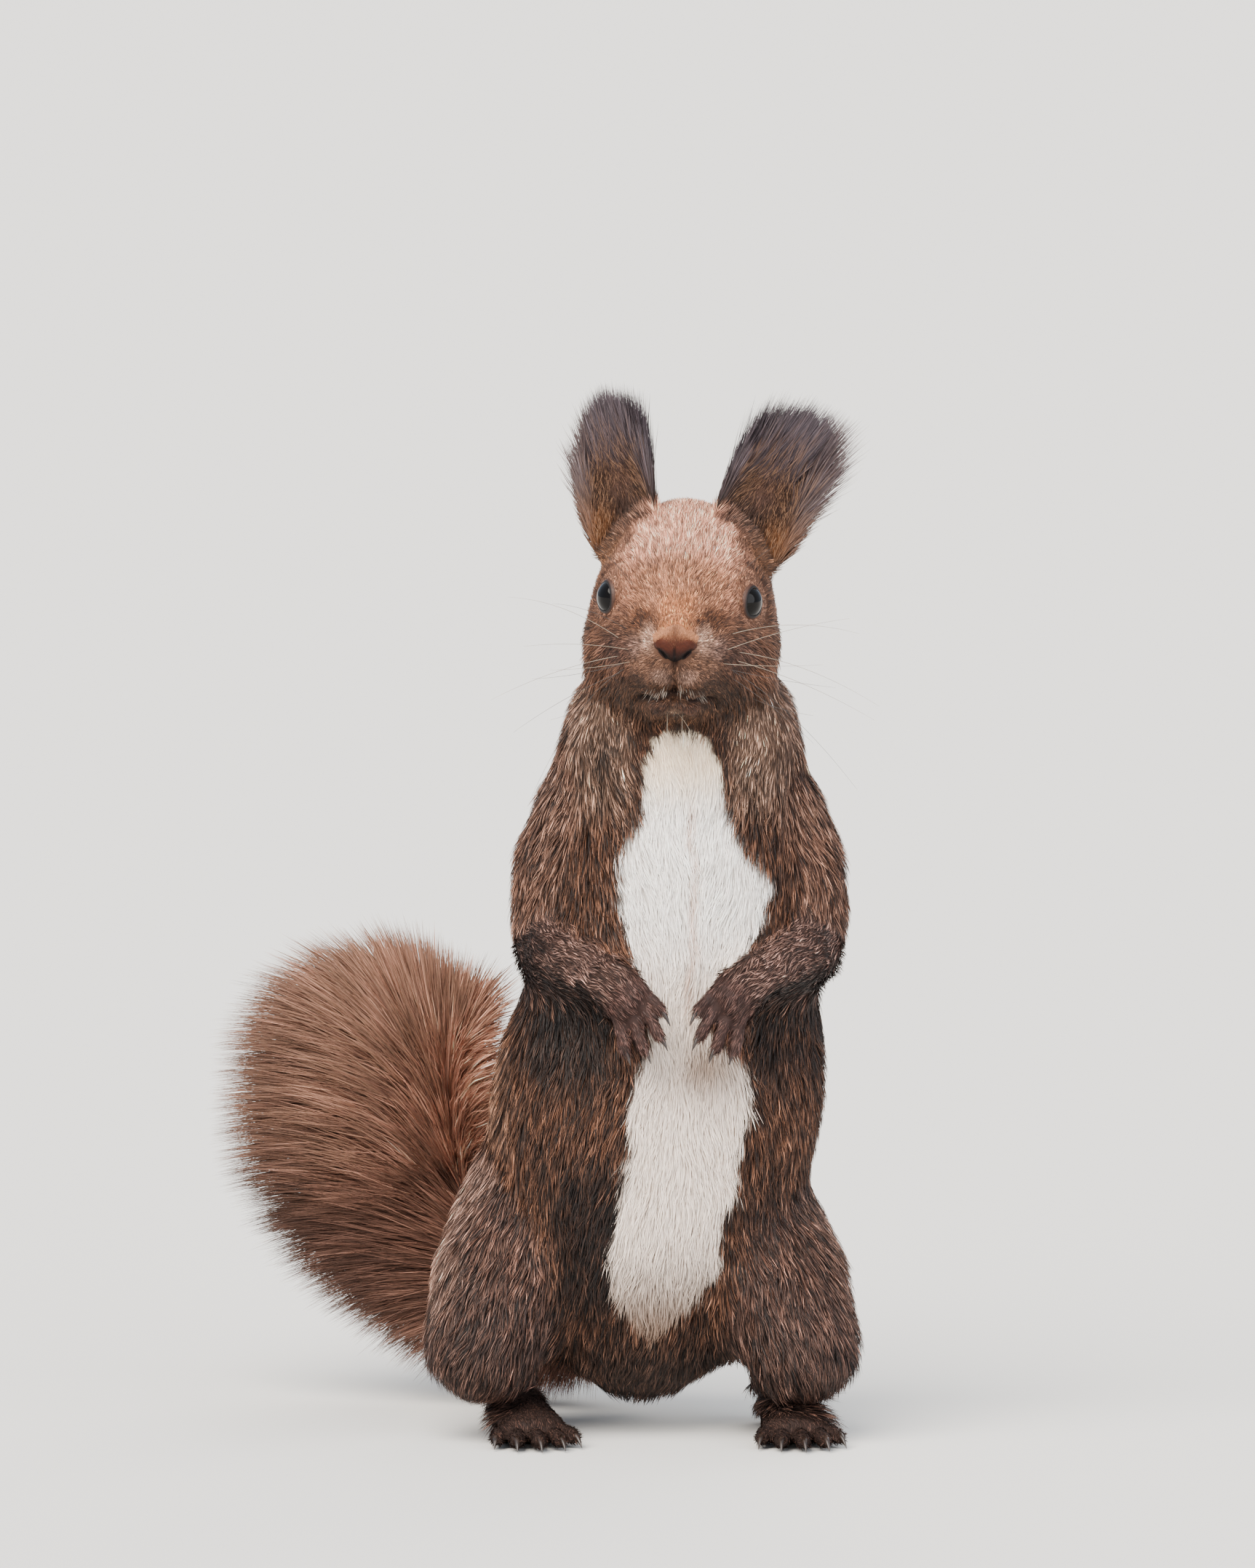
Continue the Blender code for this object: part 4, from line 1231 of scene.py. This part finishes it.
def pieces_of(name, lines, facing, width, colours, uv, slot):
    """Splits the hairs into meshes of under 200,000 triangles, from the ground up."""
    each = 2 * lines.shape[1] - 3
    limit = PIECE_TRIANGLES // each
    order = np.argsort(lines[:, 0, 2])
    parts = np.array_split(order, max(1, math.ceil(len(lines) / limit)))
    for k, rows in enumerate(parts):
        title = f"{name}_{k + 1}" if len(parts) > 1 else name
        coat_piece(title, lines[rows], facing[rows], width[rows], colours[rows], uv[rows], slot)


def unwrap(points, region):
    """A place on the unwrap for each root: a tile for each region, angle across and height up."""
    tiles = 4
    uv = np.zeros((len(points), 2))
    for k in range(len(NAMES)):
        chosen = region == k
        if not chosen.any():
            continue
        p = points[chosen]
        low, high = p.min(axis=0), p.max(axis=0)
        middle = (low + high) / 2
        angle = np.arctan2(p[:, 1] - middle[1], p[:, 0] - middle[0]) / (2 * math.pi) + 0.5
        level = (p[:, 2] - low[2]) / max(high[2] - low[2], 1e-6)
        tile = np.array((k % tiles, k // tiles))
        uv[chosen] = (tile + 0.03 + 0.94 * np.column_stack((angle, level))) / tiles
    return uv


def strand_colours(base, white, owner, rows, contrast, seed, gain):
    """Ticked hairs: dark at the root, some with a pale band, in locks that differ; white ones plain."""
    rng = np.random.default_rng(seed)
    count = len(base)
    kind = rng.random(count)
    pale = rise(0.60, 0.66, kind)
    dark = fall(0.36, 0.42, kind)
    lock = np.exp(rng.normal(0, 0.40 * contrast, count))[owner]
    tone = np.exp(rng.normal(-0.05, 0.32 * contrast, count)) * lock
    t = np.linspace(0, 1, rows)
    root = mix(max(0.12, 1 - 0.75 * contrast), 1, rise(0, 0.6, t))
    band = bell(t - 0.84, 0.26)
    shade = 1 - min(0.62 * contrast, 0.72) * dark
    level = root[None] * (1 + 2 * contrast * pale[:, None] * band[None])
    level = level * shade[:, None] * tone[:, None]
    colours = base[:, None] * (gain * level)[..., None]
    wash = (pale[:, None] * band[None] * 0.3)[..., None]
    bright = colours.mean(axis=2, keepdims=True) * np.array((1.20, 0.96, 0.76))
    colours = mix(colours, bright, wash)
    each = rng.uniform(0.82, 1.06, count)[:, None]
    plain = base[:, None] * (mix(0.72, 1, rise(0, 0.6, t))[None] * each)[..., None]
    return np.clip(mix(colours, plain, white[:, None, None]), 0, 0.94)


def grow_coat(mesh):
    """Paints the skin and grows the coat of the body, head, paws and ears over it."""
    points, normals = points_of(mesh), normals_of(mesh)
    weights, flow, sizes = lie_of_coat(mesh)
    base, white = body_colour(points, normals, weights)
    # the skin is painted a darker copy of the coat's colour: partly the hairs' dark roots, partly
    # painted shade under the fur
    skin_tone = base * mix(0.30, 0.8, white)[:, None]
    head = share_of(weights, "head")
    skin_tone = blend(skin_tone, base * 0.45, head)
    h = in_head(points)
    front = rise(17, 22, h[:, 1]) * fall(8.5, 10.5, np.abs(h[:, 0]))
    line = bell(h[:, 2] - mouth_level(h[:, 0]), 0.85) * front
    cleft = bell(h[:, 0], 0.6) * rise(27, 29, h[:, 1]) * rise(-20.5, -19, h[:, 2])
    skin_tone = blend(skin_tone, srgb(24, 12, 9), np.clip(line + 0.75 * cleft, 0, 1))
    paint(mesh, np.clip(skin_tone, 0, 0.9))

    triangles = triangles_of(mesh)
    fields = np.column_stack((points, normals, flow, sizes, weights))
    ears, tail = share_of(weights, "ear"), share_of(weights, "tail")
    paws = share_of(weights, "hand") + share_of(weights, "foot")
    body = np.clip(1 - head - ears - paws - tail, 0, 1)
    clear = eye_clearance(points) * mouth_clearance(points) * np.clip(3 / sizes[:, 0], 0.5, 2.6)
    groups = (
        # name, density, hairs, rows of each, hairs in a lock, its grip, contrast, gain, slot
        ("coat_body", body, 143000, 4, 6, 0.34, 1.15, 0.80, "coat"),
        ("coat_head", head * clear, 98000, 3, 5, 0.3, 1, 0.92, "coat"),
        ("coat_paws", paws, 18000, 3, 6, 0.25, 0.8, 0.88, "dark_fur"),
    )
    for number, (name, density, count, rows, lock, grip, contrast, gain, slot) in enumerate(groups):
        count = int(count * HAIR_SHARE)
        corners, shares = scatter(points, triangles, density, count)
        got = at(fields, corners, shares)
        p, n, d, size, w = got[:, :3], unit(got[:, 3:6]), got[:, 6:9], got[:, 9:12], got[:, 12:]
        d = unit(flat_on(d, n))
        colour, pale = body_colour(p, n, w)
        lines = hair_lines(p, n, d, size, rows)
        lines, owner = clumped(lines, lock, grip, 11 + number)
        tones = strand_colours(colour, pale, owner, rows, contrast, 31 + number, gain)
        lock_tone = 1 + 0.12 * contrast * (wave(p, 9, 41 + number) * (1 - pale))[:, None, None]
        width = size[:, 2] * RNG.uniform(0.7, 1.25, count) / math.sqrt(HAIR_SHARE)
        uv = unwrap(p, np.argmax(w, axis=1))
        pieces_of(name, lines, n, width, np.clip(tones * lock_tone, 0, 0.95), uv, slot)
    grow_ears(fields, triangles, points)


def hair_lines(p, n, d, size, rows):
    """Hairs from the places p, lifted from the normals n along d, each a little different."""
    count = len(p)
    turn = RNG.normal(0, 0.13, count) + 0.22 * wave(p, 7, 3)
    side = np.cross(n, d)
    d = d * np.cos(turn)[:, None] + side * np.sin(turn)[:, None]
    length = size[:, 0] * RNG.uniform(0.65, 1.15, count)
    lift = size[:, 1] * RNG.uniform(0.55, 1.4, count)
    bend = RNG.normal(0, 0.08, count)
    t = np.linspace(0, 1, rows)
    line = p[:, None] + d[:, None] * (t * (1 - 0.06 * t))[None, :, None] * length[:, None, None]
    arch = lift[:, None] * t - 0.45 * lift[:, None] * t**2
    line += n[:, None] * (arch * length[:, None])[..., None]
    line += side[:, None] * ((bend[:, None] * t**2) * length[:, None])[..., None]
    line -= n[:, None] * 0.12 * (1 - t)[None, :, None]
    return line


def eye_clearance(points):
    """0 on the skin round the eyes that shows no hair, 1 away from them."""
    clear = np.ones(len(points))
    for side in (-1, 1):
        away, r, edge = eye_angles(side, points)
        clear *= np.where((r < EYE_RADIUS + 4) & (away < edge + 8), 0, 1)
    return clear


def mouth_clearance(points):
    """0 on the line between the lips and under the nose's pad, 1 away from them."""
    h = in_head(points)
    front = rise(17, 22, h[:, 1]) * fall(8.5, 10, np.abs(h[:, 0]))
    line = np.exp(-(((h[:, 2] - mouth_level(h[:, 0])) / 0.8) ** 4)) * front
    pad = (np.hypot(h[:, 0] / 4.6, (h[:, 2] + 7.6) / 4) < 1) & (h[:, 1] > 28)
    return (1 - line) * ~pad


def grow_ears(fields, triangles, points):
    """The ears' coat: short and gold in front, long and slate at the tuft."""
    for side, name in SIDES:
        column = NAMES.index(f"ear_{name}")
        q_all = body_to_ear(side, points)
        mine = fields[:, 12 + column]
        count = int(EAR_HAIRS * HAIR_SHARE)
        density = mine * (1.6 + 1.6 * rise(6, 15, q_all[:, 2]))
        corners, shares = scatter(points, triangles, density, count)
        got = at(fields, corners, shares)
        p, n = got[:, :3], unit(got[:, 3:6])
        q = body_to_ear(side, p)
        outward = q[:, 0] * side / (9.2 * EARS[side]["width"])
        facing = -(n * ear_axis(side, (0, 1, 0))).sum(axis=1)
        front = rise(0.2, 0.6, facing) * fall(0.75, 0.95, np.abs(outward))
        front = front * fall(13.5, 16.5, q[:, 2])
        upper = rise(2, 13, q[:, 2])
        edge = rise(0.3, 1, outward)
        ragged = RNG.uniform(0.25, 1.06, count) ** 0.6
        lean_in, lean_out, drop_out, drop_in = EAR_TUFT[side]
        full = EAR_TIP + (1.5 if side < 0 else 4) - drop_out * rise(0.1, 1, outward)
        full = full - drop_in * rise(0, 1, -outward) - 2.6 * rise(0.4, 2.6, np.abs(q[:, 1]))
        full = (full - q[:, 2]) * ragged
        length = mix(mix(4, 7, edge) * RNG.uniform(0.6, 1.1, count), full, upper)
        length = mix(length, 3 * RNG.uniform(0.5, 1.4, count), front)
        fan = mix(lean_in, lean_out, rise(-1, 0.8, outward)) + 0.22 * edge * (1 - upper)
        fan = fan + RNG.normal(0, 1, count) * mix(0.07, 0.17, edge)
        across, tall = ear_axis(side, (side, 0, 0)), ear_axis(side, (0, 0, 1))
        up = unit(tall + fan[:, None] * across + 0.06 * n)
        inner = unit(tall + across * (RNG.normal(0, 0.3, count) - 0.4 * outward)[:, None])
        inner = unit(flat_on(inner, n) + 0.45 * n)
        d = unit(blend(up, inner, front))
        t = np.linspace(0, 1, 4)
        line = p[:, None] + d[:, None] * (t[None, :, None] * length[:, None, None])
        sway = across * RNG.normal(0.02, 0.05, (count, 1))
        line += sway[:, None] * (t**2)[None, :, None] * length[:, None, None]
        line, _ = clumped(line, 5, 0.25, 71 + side)
        each = np.exp(RNG.normal(-0.1, 0.45, count))[:, None]
        tones = ear_colour(p, side)[:, None] * (mix(0.5, 1, t)[None] * each)[..., None]
        slate = srgb(64, 55, 59) * np.exp(RNG.normal(0, 0.45, count))[:, None]
        tuft = rise(0.1, 0.7, upper[:, None] * mix(0.7, 1, t)[None]) * (1 - front)[:, None]
        tones = mix(tones, slate[:, None], tuft[..., None])
        tip = (rise(0.3, 1, outward) * (1 - front))[:, None] * t[None] ** 2 * 0.5
        tones = mix(tones, srgb(136, 114, 108), tip[..., None])
        rim = rise(0.15, 0.6, np.abs(outward) + 0.5 * rise(8, 14, q[:, 2]))
        gold = (front * (RNG.random(count) < 0.06 + 0.26 * rim))[:, None] * t[None]
        tones = mix(tones, srgb(146, 108, 82), gold[..., None])
        width = mix(0.165, 0.12, front) * RNG.uniform(0.7, 1.3, count) / math.sqrt(HAIR_SHARE)
        uv = unwrap(p, np.full(count, column))
        pieces_of(f"coat_ear_{name}", line, n, width, np.clip(tones, 0, 0.9), uv, "dark_fur")


def ear_axis(side, axis):
    """One of the ear's own axes, in the body's frame."""
    return np.asarray(axis, float) @ ear_frame(side)[1].T @ HEAD_TURN.T


def grow_tail():
    """The brush: hairs swept out of the tail's core to the outline of its solids."""
    count = int(TAIL_HAIRS * TAIL_SHARE)
    names = [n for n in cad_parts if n.startswith("tail_")]
    envelope = joined("envelope", [grown(n, 0) for n in names])
    points, normals = points_of(envelope.data), normals_of(envelope.data)
    triangles = triangles_of(envelope.data)
    bpy.data.objects.remove(envelope)
    corners, shares = scatter(points, triangles, 0.6 + 2.4 * (1 - np.abs(normals[:, 1])), count)
    tips, out = at(points, corners, shares), unit(at(normals, corners, shares))
    order = RNG.permutation(count)
    tips, out = tips[order], out[order]

    core = spline(TAIL_CORE, 12)
    length = np.concatenate(((0,), np.cumsum(np.linalg.norm(np.diff(core[:, :3], axis=0), axis=1))))
    gap = np.linalg.norm(tips[:, None] - core[None, :, :3], axis=2)
    nearest = length[np.argmin(gap, axis=1)]
    reach = gap.min(axis=1)
    facing_front = np.abs(out[:, 1])
    back = (9 + 17 * facing_front) * RNG.uniform(0.7, 1.3, count) * rise(0, 26, reach)
    start = np.clip(nearest - back, RNG.uniform(0, 5, count), length[-1])
    root = np.column_stack([np.interp(start, length, core[:, k]) for k in range(3)])
    ahead = np.column_stack([np.interp(start + 4, length, core[:, k]) for k in range(3)]) - root
    ahead = unit(ahead + np.array((0, 0, 1e-3)))
    toward = unit(tips - root)
    aside = unit(flat_on(toward, ahead))
    root = root + aside * 2
    longest = 1.06 + 0.10 * fall(50, 80, tips[:, 2:3]) * (tips[:, 0:1] < -50)
    full = mix(0.76, longest, RNG.random(count)[:, None] ** 0.3)
    tips = mix(root, tips, full) + RNG.normal(0, 1.3, (count, 3))
    tips[:, 0] = np.maximum(tips[:, 0], CAD_BOX[0][0] / MM - OFFSET[0] - RNG.uniform(1, 3.6, count))
    beside = rise(78, 96, tips[:, 2]) * rise(-46, -36, tips[:, 0])
    tips[:, 0] += 9 * beside * RNG.random(count)
    tips[:, 2] += 6 * beside * RNG.random(count)
    tips[:, 1] = np.minimum(tips[:, 1], CAD_BOX[1][1] / MM - OFFSET[1] + RNG.uniform(0.4, 2.4, count))
    tips[:, 2] = np.maximum(tips[:, 2], 0.6)
    span = np.linalg.norm(tips - root, axis=1, keepdims=True)
    control = root + span * (0.30 * ahead + 0.22 * toward) + RNG.normal(0, 0.8, (count, 3))
    t = np.array((0, 0.36, 0.70, 1))[None, :, None]
    lines = bent(root[:, None], control[:, None], tips[:, None], t)
    lines[..., 2] = np.maximum(lines[..., 2], 0.4)
    lines, owner = clumped(lines, 12, 0.26, 91, key=-1)
    t = t[0, :, 0]
    facing = unit(out + 0.5 * RNG.normal(size=(count, 3)))
    x, _, z = tips.T
    tones = np.exp(RNG.normal(-0.08, 0.5, count) + RNG.normal(0, 0.4, count)[owner])
    tones = tones * (1 + 0.22 * wave(tips, 16, 92))
    base = srgb(*BODY_TONES["tail"])
    ramp = mix(0.75, 1, rise(0, 0.5, t))
    lit = 0.9 * fall(-0.5, 0.3, out[:, 1]) * rise(-60, -44, x) * rise(50, 66, z) * fall(92, 100, z)
    tones = tones * (1 + lit)
    # painted shade: the tail darker towards its bottom, under the body; a little lighter at its top
    tones = tones * mix(0.5, 1, rise(30, 70, z)) * mix(1, 1.25, rise(92, 108, z))
    # low: the tail's lower part, which painted shade darkens at its outer end, in its warm bands and in
    # its grey ends
    low = fall(40, 76, z)
    # painted light: the tail's inner part, next to the body, made lighter against the body's shadow
    inner = rise(-80, -62, x) * (1 - 0.75 * rise(84, 100, z))
    tones = tones * mix(0.62, 1, rise(-98, -82, x)) * mix(1, 1.5, inner)
    tones = tones * (1 - 0.3 * low * fall(-92, -80, x))
    colours = base[None, None] * (tones[:, None] * ramp[None])[..., None]
    warm = (RNG.random(count) < 0.3)[:, None] * bell(t - 0.7, 0.25)[None]
    colours = mix(colours, srgb(180, 134, 108), (warm * 0.65 * (1 - 0.8 * low[:, None]))[..., None])
    ends = RNG.uniform(0.1, 0.8, count) * mix(0.35, 1, rise(-96, -80, x))
    grey = rise(0.6, 1, t)[None] * ends[:, None]
    colours = mix(colours, blend(srgb(150, 116, 94), srgb(74, 50, 42), low)[:, None], grey[..., None])
    width = RNG.uniform(0.24, 0.43, count) / math.sqrt(TAIL_SHARE)
    uv = unwrap(tips, np.full(count, NAMES.index("tail")))
    pieces_of("coat_tail", lines, facing, width, np.clip(colours, 0, 0.9), uv, "tail_fur")


# ------------------------------------------------------------------ nose, mouth, claws and whiskers
NOSE_EDGE = (
    (0, -2), (1.3, -2.7), (2.6, -4.2), (3.9, -5.7), (5, -6.7), (5.1, -7.6), (4.4, -8.8),
    (3.3, -9.9), (1.4, -11.2), (0, -11.7),
)
NOSE_MIDDLE = -7.2


def nose_front(s, u):
    """How far forward the nose's surface lies at a place on it."""
    return 35.9 - 0.10 * s**2 - 0.12 * np.maximum(u + 7, 0) ** 2 - 0.11 * np.maximum(-8.2 - u, 0) ** 2


def make_nose():
    """The bare pad, with its two slits and the groove between them."""
    edge = np.array(NOSE_EDGE)
    edge = np.vstack((edge, edge[-2:0:-1] * (-1, 1)))
    bearing = np.arctan2(edge[:, 1] - NOSE_MIDDLE, edge[:, 0])
    radius = np.hypot(edge[:, 0], edge[:, 1] - NOSE_MIDDLE)
    order = np.argsort(bearing)
    columns, rows = 120, 46
    angles = np.linspace(-math.pi, math.pi, columns, endpoint=False)
    reach = np.interp(angles, bearing[order], radius[order], period=2 * math.pi)
    shares = np.linspace(0.02, 1.12, rows)
    s = shares[:, None] * (reach * np.cos(angles))[None]
    u = NOSE_MIDDLE + shares[:, None] * (reach * np.sin(angles))[None]
    tuck = rise(0.84, 1.12, shares)[:, None] * 3.6
    bank = rise(-9.8, -6, u)
    f = nose_front(s, u) - tuck * mix(1, 0.8, bank)
    a = np.abs(s)
    curve = -8.1 - 0.14 * a - 3.1 * fall(0.2, 3.9, a)
    slit = bell(u - curve, mix(0.75, 0.45, rise(1, 4, a)))
    slit = slit * fall(3.9, 4.7, a) * (shares[:, None] < 1.02)
    split = bell(s, 0.32) * fall(-8.6, -7, u)
    wing = bell(a - 3.2, 1.2) * bell(u + 7.3, 1.3)
    f = f - 1.35 * slit - 0.35 * split + 0.30 * wing
    points = head_point(np.stack((s, f, u), axis=-1).reshape(-1, 3))
    centre = head_point(np.array([(0, nose_front(0, NOSE_MIDDLE), NOSE_MIDDLE)]))
    faces = ring_faces(rows, columns)
    faces += [((k + 1) % columns, k, rows * columns) for k in range(columns)]
    pad = new_mesh("nose_pad", np.vstack((points, centre)), faces)
    s, u, slit, split = s.ravel(), u.ravel(), slit.ravel(), split.ravel()
    tone = np.tile(srgb(54, 22, 11), (len(s), 1))
    tone = blend(tone, srgb(100, 52, 24), rise(-7, -3.4, u))
    tone = mix(tone, srgb(20, 5, 3), fall(-9.8, -7.4, u)[:, None] * 0.85)
    tone = blend(tone, srgb(10, 6, 6), np.clip(slit * 1.2 + split * 0.8, 0, 1))
    tone = tone * (1 + 0.12 * wave(points, 0.8, 8))[:, None]
    paint(pad.data, np.vstack((tone, srgb(54, 22, 11)[None])))
    show(pad, "nose", "nose", ["nose"])


def grow_nose():
    """Very short hairs over the top of the nose, so that the bridge runs into the pad."""
    count = int(NOSE_HAIRS * HAIR_SHARE)
    s = RNG.uniform(-4.9, 4.9, count)
    edge = np.array(NOSE_EDGE)[:6]
    top = np.interp(np.abs(s), edge[:, 0], edge[:, 1])
    low = -7.3 + 0.4 * rise(1.5, 4.5, np.abs(s)) - 0.5 * bell(s, 1.2) + RNG.normal(0, 0.35, count)
    share_up = RNG.random(count) ** 0.6
    u = mix(low, top + 0.5, share_up)

    def surface(s, u):
        inside = rise(-0.3, 1, u - top + 0.6)
        return head_point(np.column_stack((s, nose_front(s, u) - 0.9 * inside, u)))

    p = surface(s, u)
    n = unit(np.cross(surface(s + 0.05, u) - p, surface(s, u + 0.05) - p))
    n = n * np.where(n[:, 1] > 0, -1, 1)[:, None]
    lean = s * 0.16 + RNG.normal(0, 0.18, count)
    way = head_way(np.column_stack((lean, np.full(count, -0.2), np.ones(count))))
    d = unit(flat_on(way, n))
    length = mix(0.35, 1.1, share_up) * RNG.uniform(0.7, 1.2, count)
    t = np.linspace(0, 1, 3)
    lines = p[:, None] + d[:, None] * (t[None, :, None] * length[:, None, None])
    lines += n[:, None] * ((0.45 * t - 0.25 * t**2)[None] * length[:, None] - 0.04)[..., None]
    tone = blend(srgb(78, 40, 22), srgb(164, 108, 74), rise(0.05, 0.7, share_up))
    tone = blend(tone, srgb(84, 50, 32), 0.75 * bell(s, 1) * fall(0.55, 0.95, share_up))
    each = np.exp(RNG.normal(0, 0.3, count))[:, None]
    colours = tone[:, None] * (mix(0.6, 1, t)[None] * each)[..., None]
    uv = unwrap(p, np.full(count, NAMES.index("head")))
    width = np.full(count, 0.075) / math.sqrt(HAIR_SHARE)
    pieces_of("coat_nose", lines, n, width, np.clip(colours, 0, 0.9), uv, "coat")


def hooked(root, point, sag, radius):
    """A claw from root to point, bent up by sag in its middle."""
    t = np.linspace(0, 1, 9)[:, None]
    middle = (root + point) / 2 + np.array((0, 0, sag))
    path = bent(root, middle, point, t)
    t = t[:, 0]
    return tube("claw", path, radius * (1 - t**1.6) + 0.09, 12)


def make_claws():
    for side, name in SIDES:
        made = []
        for knuckle, tip, point in fingers(side):
            bone = unit(tip - knuckle)
            made.append(hooked(tip - bone * 1, point + unit(point - tip) * 0.4, 1.1, 0.72))
        show(joined(f"claws_hand_{name}", made), "claw", "dark_fur")
        made = []
        for _, end, way in toes(side):
            root = end - way * 0.6 + np.array((0, 0, 0.5))
            made.append(hooked(root, end + way * (CLAW_REACH + 0.2) - np.array((0, 0, 1.9)), 1.6, 0.85))
        show(joined(f"claws_foot_{name}", made), "claw", "dark_fur")


# root in the head's frame, end in the body's frame, sag in mm, dark or pale
WHISKERS = (
    ((-9.5, 22, -6.5), (-23.5, -30, 195.4), -3, True),
    ((-10.4, 20.5, -9.5), (-33.5, -26, 196.5), -5, False),
    ((-10.6, 21, -11), (-37.5, -24, 172.8), -3, False),
    ((-10.2, 22, -12.5), (-28.1, -28, 178), 1.5, True),
    ((-9.8, 21.5, -14), (-32.5, -20, 164.9), -2.5, True),
    ((-9.4, 22.5, -13), (-28.6, -26, 150.1), -11, True),
    ((-9, 24, -10), (-30, -34, 186), -2, False), ((-8.6, 24.5, -12), (-24, -38, 181), 1, False),
    ((9.5, 22, -6.5), (46.5, -24, 187.9), -5, False),
    ((10.4, 20.5, -9.5), (51, -22, 171.1), -5, False),
    ((10.6, 21, -11), (50, -20, 167.7), -3, False),
    ((10.2, 22, -12.5), (45.9, -24, 152.3), -6, True), ((9.8, 21.5, -14), (36, -26, 163), -2, True),
    ((9.4, 22.5, -13), (41, -28, 176), 1, True), ((9, 24, -10), (44, -30, 192), -2, False),
    ((8.6, 24.5, -12), (38, -36, 182), 1, False), ((-9.6, 16, 3.2), (-15.5, -22, 209), -2, True),
    ((-8.4, 17.5, 2), (-10.5, -30, 207), 2, True), ((9.6, 16, 3.2), (27.5, -22, 208), -2, True),
    ((8.4, 17.5, 2), (20, -30, 206), 2, True), ((-12, 10, -19), (-24, -22, 168), 2, True),
    ((12, 10, -19), (36, -22, 169), 2, True), ((-1.5, 27, -23), (2.5, -36, 161), -2, False),
    ((1.8, 27, -23), (6, -37, 160), -2, False), ((0.4, 26, -23.5), (9, -34, 164), -2, False),
)


def make_whiskers():
    for dark, title in ((True, "whiskers_dark"), (False, "whiskers_pale")):
        made = []
        for root, end, sag, is_dark in WHISKERS:
            if is_dark != dark:
                continue
            root, end = head_point(root), np.array(end)
            t = np.linspace(0, 1, 15)[:, None]
            middle = (root + end) / 2 + np.array((0, 0, -sag))
            path = bent(root, middle, end, t)
            made.append(tube("whisker", path, 0.05 * (1 - t[:, 0]) ** 0.7 + 0.016, 6))
        hairs = joined(title, made)
        show(hairs, title, "dark_fur" if dark else "coat")


def make_lip_hairs():
    """Short pale hairs that hang from the upper lip, and the tuft on the chin."""
    count = LIP_HAIRS + CHIN_HAIRS
    chin = np.arange(count) >= LIP_HAIRS
    spot = RNG.uniform(0.9, 6.4, count) * np.where(RNG.random(count) < 0.5, -1, 1)
    side = np.where(chin, RNG.normal(0, 1.1, count), spot)
    up = np.where(chin, RNG.normal(-22.8, 0.8, count), mouth_level(side) + RNG.uniform(0.5, 2.4, count))
    forward = np.where(chin, 28.4, 31.4) - 0.09 * side**2 + RNG.uniform(-0.5, 0.2, count)
    root = head_point(np.column_stack((side, forward, up)))
    length = RNG.uniform(1.1, 2.4, count) * np.where(chin, 0.55, 1)
    lean = side * 0.10 + RNG.normal(0, 0.10, count)
    d = head_way(np.column_stack((lean, np.full(count, 0.26), np.full(count, -1))))
    t = np.linspace(0, 1, 3)
    lines = root[:, None] + d[:, None] * t[None, :, None] * length[:, None, None]
    lines[..., 1] += 0.35 * length[:, None] * t[None] ** 2
    facing = np.tile((0, -1, 0.1), (count, 1))
    tone = RNG.uniform(0.12, 0.55, count)[:, None] * mix(0.3, 1, t)[None]
    tone = tone * np.where(chin, 0.5, 1)[:, None]
    colours = srgb(236, 218, 200)[None, None] * tone[..., None]
    uv = unwrap(root, np.full(count, NAMES.index("head")))
    pieces_of("coat_lips", lines, facing, np.full(count, 0.085), colours, uv, "coat")


MATERIALS = make_materials()
skin = make_skin()
skin.name = skin.data.name = "skin"
FLESH = [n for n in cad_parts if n.split("_")[0] not in ("eye", "nose")]
show(skin, "skin", "coat", FLESH)
grow_coat(skin.data)
grow_tail()
make_eyes()
make_nose()
grow_nose()
make_lip_hairs()
make_claws()
make_whiskers()
stage()
